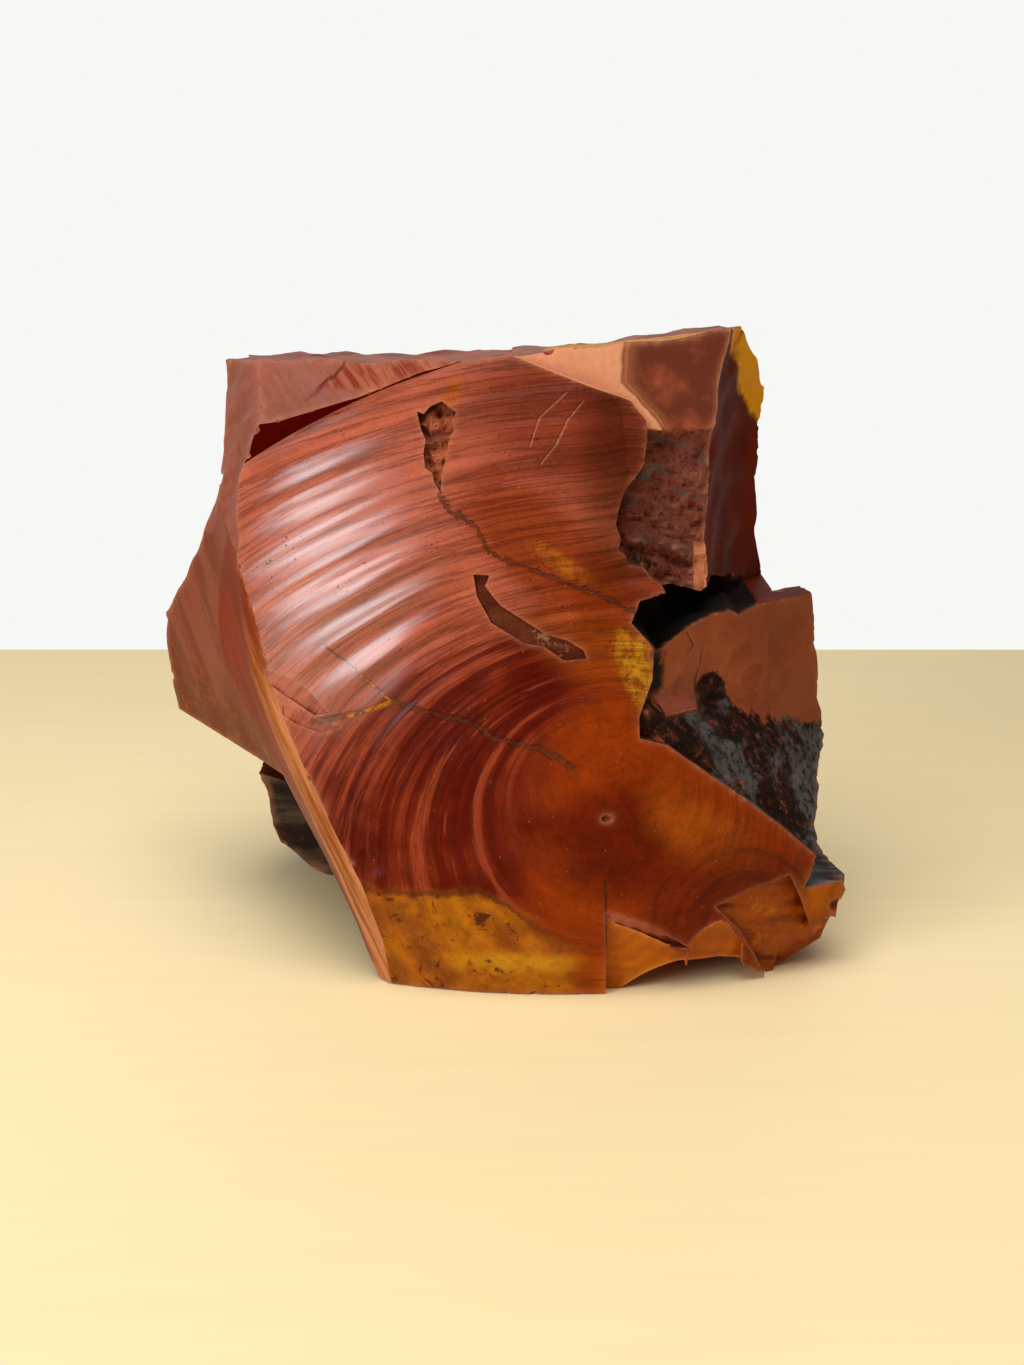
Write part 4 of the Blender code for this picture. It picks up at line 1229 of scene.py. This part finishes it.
        # Pale rim along sharp edges: partly crushed stone, partly a painted highlight.
        colour = self.mix(self.rim * 0.45, self.tint(colour, self.shade()), c.pale_rim)
        lines = streaks * 0.6 + self.streaks(self.rings, 0.5, 2.0) * 0.35 - self.hairs * 0.25
        height = lines * self.ringed + fine * 0.14 + arcs - cracks * 1.5 - crushed - fleck * 0.6
        edges = (self.bands - 0.5) * 1.2 + (streaks - 0.5) * 0.6 + (self.cloud - 0.5) * 0.6
        sheen = self.patch((-21.5, 51.5), (18.5, 11.0), 1.05, edges, 0.3)
        coat = self.far * 0.05 + sheen * (1.0 - fleck)
        roughness = 0.26 + 0.16 * fine + 0.12 * ochre + cracks * 0.3
        return self.finished(colour, height, 0.16, roughness, coat.least(1.0))


# Plain broken sides: material, two close colours and the spots on them, gloss, and what else differs
PLAIN_FINISHES = {
    "corner": ("corner_mauve", "outer_mauve shelf_mauve ochre_brown", 0.4, {"relief": 0.1, "share": 0.3}),
    # The undercut finish is dark red painted darker as the shade under the shelf, with no gloss and no pale
    # rim.
    "undercut": ("undercut_red", "undercut undercut undercut", 0.7, {"edge": "undercut", "specular": 0.0}),
    "glow": ("glowing_rim", "glow warm_brown ochre", 0.3, {"relief": 0.06, "share": 0.5, "edge": "flare"}),
    "sliver": ("pale_sliver", "outer_mauve pale_mauve block_red", 0.4, {"relief": 0.08, "share": 0.4}),
    "grain": ("grain_patch", "grain_brown dark_mauve grain_pale", 0.6,
              {"relief": 0.5, "grain_scale": 3.0, "edge": "grain_brown"}),
    "deep": ("deep_side", "red_brown mauve_brown ochre_brown", 0.36, {"share": 0.5}),
    "mauve": ("mauve_side", "side_mauve pale_mauve ochre_brown", 0.38, {"relief": 0.2, "share": 0.6}),
    "rind": ("ochre_rind", "rind_brown ochre_brown hematite", 0.6, {"relief": 0.35, "grain_scale": 0.9}),
    "foot": ("dark_foot", "foot_grey hematite dark_mauve", 0.5, {"relief": 0.25}),
    "ochre": ("ochre_corner", "yellow ochre ochre_brown", 0.42, {"share": 0.5}),
    # The blue-grey clouds of the hematite rind are partly painted sheen.
    "hematite": ("hematite_rind", "hematite blue_grey rust", 0.55, {"relief": 0.4, "grain_scale": 1.0}),
    "flake": ("lower_rim_flake", "warm_brown blow_red glow", 0.32,
              {"relief": 0.1, "grain_scale": 0.5, "edge": "glow"}),
    # The crack's walls are hematite painted near-black as the shade inside the crack.
    "crack": ("crack_wall", "hematite crack_black crack_black", 0.7, {"relief": 0.3}),
    "rough": ("rough_pocket", "dark_mauve block_brown hematite", 0.6, {"relief": 0.4, "grain_scale": 1.4}),
    "chip": ("chipped_edge", "mauve_brown red_brown pale_rim", 0.34, {"relief": 0.06, "share": 0.4}),
}


def plain_finish(
    colours, name, mixed, gloss, relief=0.12, grain_scale=0.8, share=1.0, edge="pale_rim", specular=0.1
):
    """A broken side: two close colours in soft clouds, a third in small spots, and pale thin rims that are
    partly a painted highlight.
    """
    f = Finish(name, gloss, specular)
    under, over, spot = (getattr(colours, colour_name) for colour_name in mixed.split())
    fine = f.noise(grain_scale, 5.0, 0.65)
    spots = (f.noise(0.22, 5.0, 0.7) + (fine - 0.5) * 0.3).step(0.6, 0.7)
    colour = f.layers(under, (f.clouds(), over), (spots * share, spot))
    colour = f.tint(colour, 0.45 + 0.6 * fine + 0.5 * f.noise(3.0, 3.0, 0.7))
    # Pale rim along sharp edges in the edge colour: partly crushed stone, partly a painted highlight.
    colour = f.mix(f.rim * 0.45, colour, getattr(colours, edge))
    return f.finished(colour, fine + f.strata() * 0.6, relief, gloss + 0.2 * fine)


def wall_finish(colours):
    """The old break at the top right: a smooth pinkish-brown plane over a rough dark vein."""
    f, c = Finish("old_break", 0.4, 0.08), colours
    x, z = f.x, f.z
    cloud, fine = f.noise(0.12, 4.0), f.noise(1.3, 5.0, 0.7)
    wobble = (cloud - 0.5) * 0.6
    past = x - (76.8 - z).most(0.0) * 0.9 + (cloud - 0.5) * 2.5 - 13.2
    plane = f.layers(
        c.wall_brown,
        (cloud.step(0.4, 0.62), c.mauve_brown),
        (past.step(0.3, -0.3) * 0.85, c.wall_pink),
        (abs(past - 0.4).step(0.3, 0.1) * 0.6, c.pale_rim),
        ((past - 0.6).step(1.8, 0.0) * past.step(0.3, 0.6) * 0.3, c.tan),
    )
    facet_share = (x + wobble).step(22.4, 22.7) * (z + wobble * 2.0).step(57.2, 56.8)
    vein = (z + (f.noise(0.4, 4.0) - 0.5) * 3.0 + wobble).step(71.4, 70.6) * (1.0 - facet_share)
    crystal = f.noise(1.6, 6.0, 0.75)
    strata = f.noise(1.0, 5.0, 0.6, f.joined(x * 0.1, f.y * 0.1, (z + x * 0.3) * 0.42))
    rough = f.layers(
        c.hematite,
        ((crystal + (strata - 0.5) * 0.8).step(0.28, 0.55), c.vein_red),
        (strata.step(0.5, 0.6) * crystal.step(0.4, 0.55) * 0.85, c.vein_grey),
        (strata.step(0.42, 0.36) * crystal.step(0.5, 0.6) * 0.6, c.rust),
    )
    colour = f.layers(
        f.tint(plane, 0.8 + 0.4 * fine),
        (facet_share * 0.7, c.block_brown),
        (vein, rough),
        # Pale pink rim along sharp edges: partly crushed stone, partly a painted highlight.
        (f.rim * 0.35, c.wall_pink),
    )
    return f.finished(colour, fine * 0.3 + vein * crystal * 2.2, 0.25, 0.38 + 0.3 * vein)


def block_finish(colours):
    """The lower right step: a mauve-brown face above, and below a black rind with rust and a blue-grey that
    is partly painted sheen, with a painted shadow in the cleft at its left.
    """
    f, c = Finish("stepped_break", 0.42, 0.08), colours
    x, z = f.x, f.z
    fine, cloud = f.noise(1.2, 5.0, 0.7), f.noise(0.12, 4.0)
    face = f.layers(
        c.block_brown,
        (cloud.step(0.38, 0.62), c.block_red),
        ((x + (cloud - 0.5) * 12.0).step(29.0, 35.0) * 0.45, c.outer_mauve),
    )
    ragged = (f.noise(0.3, 5.0, 0.6) - 0.5) * 5.0 + (fine - 0.5) * 1.5
    bump = RIND_BUMP * (1.0 - (abs(x - RIND_BUMP_X) / 3.2).least(1.0) ** 2.0)
    rind = (z - (RIND_LINE_Z - RIND_FALL * (x - RIND_BUMP_X) + bump) + ragged).step(0.4, -0.4)
    crystal = f.noise(0.9, 6.0, 0.7)
    # Blue-grey patches, more of them to the right: partly the rind's own colour, partly painted sheen.
    blue = (f.noise(0.13, 4.0, 0.6) + (x - 32.0) * 0.009).step(0.48, 0.6) * crystal.step(0.35, 0.55)
    # A painted shadow: a near-black line where the cleft at the step's left lies in shade.
    cleft_shade = (x + (fine - 0.5) * 2.4).step(19.2, 17.8) * z.step(38.6, 40.6)
    dark = f.layers(
        c.hematite,
        (crystal.step(0.5, 0.7) * 0.7, c.vein_red),
        (blue * 0.8, c.blue_grey),
        (f.noise(0.3, 5.0, 0.7, bend=0.6).step(0.62, 0.7), c.rust),
        (cleft_shade, c.crack_black),
    )
    colour = f.tint(face, 0.75 + 0.45 * fine)
    # The pale rim along sharp edges is partly crushed stone, partly a painted highlight.
    colour = f.layers(colour, (rind.most(cleft_shade), dark), (f.rim * 0.35, c.pale_rim))
    return f.finished(colour, fine * 0.4 + rind * crystal * 2.0, 0.25, 0.4 + 0.25 * rind)


def left_finish(colours):
    """The left side: a tan strip beside the rim, a red-brown band, then mauve out to the bulge."""
    f, c = Finish("left_break", 0.36, 0.08), colours
    x, z = f.x, f.z
    cloud, fine = f.noise(0.12, 4.0), f.noise(1.1, 5.0, 0.65)
    strata = f.noise(1.0, 4.0, 0.6, f.joined((x + z * 0.45) * 0.55, f.y * 0.1, z * 0.04))
    rim_x = (-14.0 - z * 0.4 + (z - 40.0).most(0.0) * 0.19).least(-15.4)
    out = rim_x - x + (cloud - 0.5) * 1.5
    band = 8.0 - (z - 39.0) ** 2.0 * 0.017
    strip = (rim_x - x + (fine - 0.5) * 0.5).step(3.4, 2.4) * z.step(50.0, 36.0)
    low = (z + x * 0.35 + (f.noise(0.2, 5.0) - 0.5) * 14.0).step(24.0, 17.0) * out.step(5.0, 7.0)
    colour = f.layers(
        c.left_red,
        ((out - band).step(-0.3, 0.4), c.outer_mauve),
        (strata.step(0.45, 0.6) * 0.4, c.dark_mauve),
        (strip * 0.9, f.mix(strata.step(0.4, 0.6), c.tan, c.ochre_brown)),
        (low * 0.8, c.rind_brown),
        (f.noise(0.5, 5.0, 0.7).step(0.52, 0.6) * low * 0.7, c.ochre_brown),
    )
    # Pale rim along sharp edges: partly crushed stone, partly a painted highlight.
    colour = f.mix(f.rim * 0.5, f.tint(colour, 0.75 + 0.45 * fine), c.pale_rim)
    return f.finished(colour, fine * 0.5 + strata, 0.12, 0.34 + 0.2 * fine)


def shade_finish(colours):
    """The hollow face at the right: dark brown, and bright ochre beyond a ragged slanting line, its
    brightness a painted light for the lit corner facet.
    """
    f, c = Finish("shaded_side", 0.5, 0.02), colours
    cloud, fine = f.noise(0.14, 4.0), f.noise(1.0, 5.0, 0.65)
    over = f.z - 82.0 + (f.y + 17.0) * 0.69 + (cloud - 0.5) * 5.0 + (fine - 0.5) * 0.8
    colour = f.layers(
        c.shade_brown,
        (cloud.step(0.35, 0.65), c.dark_mauve),
        (over.step(-0.3, 0.3), f.mix(f.noise(0.2, 4.0).step(0.5, 0.7), c.lit_corner_yellow, c.ochre)),
        (abs(over - 0.2).step(0.6, 0.1) * 0.6, c.dendrite),
    )
    return f.finished(f.tint(colour, 0.75 + 0.5 * fine), fine, 0.08, 0.45 + 0.15 * fine)


def top_finish(colours):
    """The top at the right: mauve-brown, with a thin bright ochre seam that crops out on it."""
    f, c = Finish("ochre_seam_top", 0.42), colours
    fine = f.noise(1.0, 5.0, 0.65)
    ragged = (f.noise(0.14, 4.0) - 0.5) * 14.0 + (f.noise(0.5, 5.0, 0.7) - 0.5) * 5.0
    along = f.x + ragged
    seam = along.step(3.5, 5.0) * along.step(22.0, 20.5) * (f.y + ragged * 0.9).step(-11.0, -13.0)
    colour = f.layers(
        c.side_mauve,
        (f.clouds(), c.pale_mauve),
        (seam, f.mix(fine.step(0.4, 0.6), c.yellow, c.ochre)),
    )
    return f.finished(f.tint(colour, 0.7 + 0.6 * fine), fine, 0.12, 0.4 + 0.15 * fine)


def shelf_finish(colours):
    """The shelf: mauve with slanting hairlines, and a redder flake beyond a curved step."""
    f, c = Finish("shelf_mauve", 0.36, 0.12), colours
    x, z = f.x, f.z
    cloud, fine = f.noise(0.12, 4.0), f.noise(1.1, 5.0, 0.65)
    slant = f.noise(1.0, 5.0, 0.65, f.joined((x + z * 0.8) * 0.9, f.y * 0.2, (z - x) * 0.06))
    uneven = (cloud - 0.5) * 3.0 + (fine - 0.5) * 0.5
    past = ((x + 30.0) ** 2.0 + (z - 86.0) ** 2.0) ** 0.5 + uneven - 12.0
    flake = past.step(-0.15, 0.15) * (z - 76.2 + (x + 22.0) * 0.05).step(-0.4, 0.4)
    spot = f.patch((-17.5, 74.6), (1.8, 1.0), 0.9, (fine - 0.5) * 1.2, 0.5)
    colour = f.layers(
        c.shelf_mauve,
        (slant.step(0.4, 0.6) * 0.6, c.outer_mauve),
        (flake, f.mix(slant.step(0.4, 0.6), c.red_brown, c.pale_mauve)),
        (abs(past).step(0.35, 0.05) * z.step(74.0, 76.0) * 0.7, c.dark_mauve),
        (spot * 0.6, c.ochre),
    )
    # Pale rim along sharp edges: partly crushed stone, partly a painted highlight.
    colour = f.mix(f.rim * 0.4, f.tint(colour, 0.55 + 0.5 * fine + 0.4 * cloud), c.pale_rim)
    return f.finished(colour, slant * 0.7 + fine * 0.3 + flake, 0.2, 0.3 + 0.2 * fine)


def stone_finishes(colours):
    """Every finish of the stone, by name."""
    finishes = {
        "front": FrontFinish(colours).made(),
        "wall": wall_finish(colours),
        "block": block_finish(colours),
        "left": left_finish(colours),
        "shelf": shelf_finish(colours),
        "shade": shade_finish(colours),
        "top": top_finish(colours),
    }
    for name, (material, mixed, gloss, extras) in PLAIN_FINISHES.items():
        finishes[name] = plain_finish(colours, material, mixed, gloss, **extras)
    return finishes


def colour_property(name, description, default):
    """A colour that a user may change."""
    return bpy.props.FloatVectorProperty(
        name=name,
        description=description,
        subtype="COLOR",
        size=3,
        min=0.0,
        max=1.0,
        default=default,
    )


class MOOKAITE_PG_stone(bpy.types.PropertyGroup):
    """Sizes of the stone's relief that a user may change."""

    ripple_height: bpy.props.FloatProperty(
        name="Ripple height",
        description="Height of the long swells that cross the front break",
        default=0.00013,
        min=0.0,
        max=0.001,
        precision=5,
        unit="LENGTH",
    )
    fine_ripple_height: bpy.props.FloatProperty(
        name="Fine ripple height",
        description="Height of the fine uneven ripples on the long swells",
        default=0.00009,
        min=0.0,
        max=0.001,
        precision=5,
        unit="LENGTH",
    )


class MOOKAITE_PG_colours(bpy.types.PropertyGroup):
    """Colours of the stone."""

    mauve_brown: colour_property("Mauve brown", "Most of the outer part", (0.36, 0.082, 0.042))
    pale_mauve: colour_property("Pale mauve", "Light bands in the outer part", (0.3, 0.078, 0.042))
    dark_mauve: colour_property("Dark mauve", "Dark streaks in the outer part", (0.085, 0.009, 0.003))
    red_brown: colour_property("Red brown", "The middle of the front break", (0.17, 0.018, 0.003))
    deep_red: colour_property("Deep red", "The deepest red of the front break", (0.085, 0.003, 0.0003))
    orange_brown: colour_property("Orange brown", "The right of the front break", (0.25, 0.032, 0.0008))
    ochre_brown: colour_property("Ochre brown", "Dull ochre at the foot and rind", (0.25, 0.062, 0.006))
    ochre: colour_property("Ochre", "The foot of the front break", (0.4, 0.13, 0.003))
    yellow: colour_property("Yellow", "The brightest ochre", (0.52, 0.24, 0.01))
    glow: colour_property("Rim glow", "Thin lower rims that light shines through", (0.45, 0.115, 0.002))
    dendrite: colour_property("Dendrite", "Dark branching marks and cracks", (0.06, 0.01, 0.004))
    # Partly painted highlight: the pale rims along sharp edges stand for crushed stone and for the light
    # that the edges catch.
    pale_rim: colour_property("Pale rim", "The thin crushed edges of the breaks", (0.45, 0.17, 0.09))
    wall_brown: colour_property("Wall brown", "The old break at the top right", (0.13, 0.03, 0.016))
    wall_pink: colour_property("Wall pink", "The pale corner of the old break", (0.8, 0.36, 0.2))
    vein_red: colour_property("Vein red", "Rough dark red crystals", (0.24, 0.055, 0.035))
    vein_grey: colour_property("Vein grey", "Grey-green in the rough vein", (0.09, 0.09, 0.09))
    hematite: colour_property("Hematite", "The black rind", (0.014, 0.006, 0.004))
    # Partly painted sheen: the blue-grey of the black rind, and the sheen it shows where it catches the
    # light.
    blue_grey: colour_property("Blue grey", "Blue-grey in the black rind", (0.115, 0.115, 0.125))
    rust: colour_property("Rust", "Rust spots in the black rind", (0.3, 0.075, 0.02))
    block_brown: colour_property("Step brown", "The step's mauve-brown face", (0.36, 0.09, 0.034))
    block_red: colour_property("Step red", "The step's redder parts", (0.28, 0.06, 0.022))
    tan: colour_property("Tan", "The strip beside the left rim", (0.5, 0.19, 0.075))
    rind_brown: colour_property("Rind brown", "The rough lower rind at the left", (0.12, 0.03, 0.01))
    foot_grey: colour_property("Foot grey", "The dark grey-green foot", (0.07, 0.045, 0.028))
    shade_brown: colour_property("Shade brown", "The hollow face at the right", (0.13, 0.013, 0.003))
    top_red: colour_property("Top red", "The top right of the front break", (0.15, 0.02, 0.006))
    lens_brown: colour_property("Lens brown", "The olive-brown lens on the front break", (0.2, 0.025, 0.001))
    warm_brown: colour_property("Warm brown", "Warm patches near the lower right rim", (0.34, 0.07, 0.003))
    blow_red: colour_property("Blow red", "The small rings at the lower right", (0.11, 0.007, 0.0006))
    crack_brown: colour_property("Crack brown", "The grains in the cracks", (0.09, 0.024, 0.01))
    outer_mauve: colour_property("Outer mauve", "The outer part of the left side", (0.2, 0.052, 0.027))
    shelf_mauve: colour_property("Shelf mauve", "The shelf at the top left", (0.25, 0.072, 0.05))
    # Painted shade: the face under the shelf is coloured this dark red because it lies in shade under the
    # overhang.
    undercut: colour_property("Undercut", "The face under the shelf", (0.075, 0.0022, 0.0007))
    # Partly painted light: ochre made brighter than the yellow, for the corner facet that is lit from above,
    # though it lies on the face in shade.
    lit_corner_yellow: colour_property("Bright yellow", "The corner at the top right", (0.75, 0.32, 0.004))
    grain_brown: colour_property("Grain brown", "The grainy patch on the front", (0.13, 0.028, 0.009))
    grain_pale: colour_property("Grain pale", "Pale grains of the grainy patch", (0.3, 0.13, 0.07))
    left_red: colour_property("Left red", "The red band of the left side", (0.19, 0.018, 0.004))
    foot_brown: colour_property("Foot brown", "Brown clouds in the ochre foot", (0.2, 0.05, 0.004))
    flare: colour_property("Flare", "The thin bright rims of the lowest flakes", (0.9, 0.36, 0.09))
    side_mauve: colour_property("Side mauve", "The sides and the back", (0.19, 0.04, 0.02))
    wave_red: colour_property("Wave red", "Light waves in the middle of the front", (0.3, 0.05, 0.02))
    # Painted shade: near-black for the shade deep inside the crack and in the cleft beside the step.
    crack_black: colour_property("Crack black", "The inside of the crack", (0.004, 0.003, 0.002))


class MOOKAITE_PG_stage(bpy.types.PropertyGroup):
    """The table, the light and the camera."""

    table_colour: colour_property("Table", "The pale table top", (1.0, 0.85, 0.5))
    backdrop: colour_property("Backdrop", "The pale wall far behind the stone", (0.93, 0.94, 0.92))
    table_back: bpy.props.FloatProperty(
        name="Table back",
        description="How far behind the stone's middle the table ends",
        default=0.16,
        unit="LENGTH",
    )
    table_reach: bpy.props.FloatProperty(
        name="Table reach",
        description="How far the table runs to the left, the right and the front",
        default=0.7,
        unit="LENGTH",
    )
    camera_place: bpy.props.FloatVectorProperty(
        name="Camera place",
        description="Where the camera stands",
        subtype="TRANSLATION",
        unit="LENGTH",
        default=(0.0, -0.242676, 0.096246),
    )
    camera_tilt: bpy.props.FloatProperty(
        name="Camera tilt",
        description="Angle of the camera's line of sight from straight down",
        subtype="ANGLE",
        default=math.radians(75.5),
    )
    camera_lens: bpy.props.FloatProperty(
        name="Lens",
        description="Focal length on a sensor 36 mm wide, in millimetres",
        default=47.473,
        unit="CAMERA",
    )
    window_power: bpy.props.FloatProperty(
        name="Window light",
        description="Power of the soft light at the left, in watts",
        default=2.8,
        unit="POWER",
    )
    top_power: bpy.props.FloatProperty(
        name="Top light",
        description="Power of the soft light above, in watts",
        default=2.7,
        unit="POWER",
    )


class MOOKAITE_OT_stone(bpy.types.Operator):
    """Build the broken lump of jasper in place of its plain CAD solid"""

    bl_idname = "mookaite.stone"
    bl_label = "Build the stone"

    def execute(self, context):
        stone = build_stone()
        stone.name = "mookaite_lump"
        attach(stone, "root")
        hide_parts("mookaite_stone")
        return {"FINISHED"}


def soft_light(name, place, size, power, colour):
    """A soft light that looks at the middle of the stone."""
    data = bpy.data.lights.new(name, "AREA")
    data.shape = "RECTANGLE"
    data.size, data.size_y = size
    data.energy = power
    data.color = colour
    made = bpy.data.objects.new(name, data)
    made.location = place
    made.rotation_euler = (Vector(LIGHT_AIM) - Vector(place)).to_track_quat("-Z", "Y").to_euler()
    bpy.context.scene.collection.objects.link(made)


def build_world(stage):
    """Soft dim light all round, and the pale wall in the direction behind the stone."""
    world = bpy.data.worlds.new("room")
    world.use_nodes = True
    nodes, links = world.node_tree.nodes, world.node_tree.links
    coordinates = nodes.new("ShaderNodeTexCoord")
    split = nodes.new("ShaderNodeSeparateXYZ")
    links.new(coordinates.outputs["Generated"], split.inputs[0])
    ramp = nodes.new("ShaderNodeMapRange")
    ramp.interpolation_type = "SMOOTHSTEP"
    ramp.inputs["From Min"].default_value = ROOM_TURN_START
    ramp.inputs["From Max"].default_value = ROOM_TURN_END
    links.new(split.outputs[1], ramp.inputs["Value"])
    mix = nodes.new("ShaderNodeMix")
    mix.data_type = "RGBA"
    mix.inputs[6].default_value = (*ROOM_COLOUR, 1.0)
    mix.inputs[7].default_value = (*stage.backdrop, 1.0)
    links.new(ramp.outputs[0], mix.inputs[0])
    links.new(mix.outputs[2], nodes["Background"].inputs["Color"])
    bpy.context.scene.world = world


class MOOKAITE_OT_stage(bpy.types.Operator):
    """Build the pale table top, the soft lights and the camera"""

    bl_idname = "mookaite.stage"
    bl_label = "Build the stage"

    def execute(self, context):
        stage = context.scene.mookaite_stage
        mesh = bpy.data.meshes.new("table_top")
        bm = bmesh.new()
        bmesh.ops.create_grid(bm, x_segments=1, y_segments=1, size=1.0)
        for vert in bm.verts:
            vert.co.x *= stage.table_reach
            vert.co.y = stage.table_back if vert.co.y > 0.0 else -stage.table_reach
            vert.co.z = TABLE_TOP
        bm.to_mesh(mesh)
        bm.free()
        table = bpy.data.objects.new("table_top", mesh)
        context.scene.collection.objects.link(table)
        finish = Finish("pale_table", 0.55, 0.2)
        grain_place = finish.joined(finish.x * 0.02, finish.y * 0.3, 0.0)
        grain_field = finish.noise(1.0, 4.0, 0.55, grain_place)
        colour = finish.tint(stage.table_colour, 0.96 + 0.08 * grain_field)
        mesh.materials.append(finish.finished(colour))
        soft_light("window", WINDOW_PLACE, WINDOW_SIZE, stage.window_power, WINDOW_COLOUR)
        soft_light("top_light", TOP_PLACE, TOP_SIZE, stage.top_power, TOP_COLOUR)
        build_world(stage)
        data = bpy.data.cameras.new("camera")
        data.sensor_width = SENSOR_WIDTH
        data.lens = stage.camera_lens
        data.clip_start = NEAREST_VIEW
        camera = bpy.data.objects.new("camera", data)
        camera.location = stage.camera_place
        camera.rotation_euler = (stage.camera_tilt, 0.0, 0.0)
        context.scene.collection.objects.link(camera)
        context.scene.camera = camera
        context.scene.view_settings.view_transform = "Standard"
        return {"FINISHED"}


class MOOKAITE_PT_panel(bpy.types.Panel):
    """Lists the sizes, the colours and the steps that build the stone"""

    bl_idname = "MOOKAITE_PT_panel"
    bl_label = "Rough Mookaite"
    bl_space_type = "VIEW_3D"
    bl_region_type = "UI"
    bl_category = "Mookaite"

    def draw(self, context):
        layout = self.layout
        for group in GROUPS:
            settings = getattr(context.scene, group)
            for name in settings.__annotations__:
                layout.prop(settings, name)
        for operator in OPERATORS:
            layout.operator(operator.bl_idname)


GROUPS = {
    "mookaite_stone": MOOKAITE_PG_stone,
    "mookaite_colours": MOOKAITE_PG_colours,
    "mookaite_stage": MOOKAITE_PG_stage,
}
OPERATORS = (MOOKAITE_OT_stone, MOOKAITE_OT_stage)
CLASSES = (*GROUPS.values(), *OPERATORS, MOOKAITE_PT_panel)


def register():
    for made in CLASSES:
        bpy.utils.register_class(made)
    for name, group in GROUPS.items():
        setattr(bpy.types.Scene, name, bpy.props.PointerProperty(type=group))


def unregister():
    for name in GROUPS:
        delattr(bpy.types.Scene, name)
    for made in reversed(CLASSES):
        bpy.utils.unregister_class(made)


def main():
    register()
    bpy.ops.mookaite.stone()
    bpy.ops.mookaite.stage()


if __name__ == "__main__":
    main()
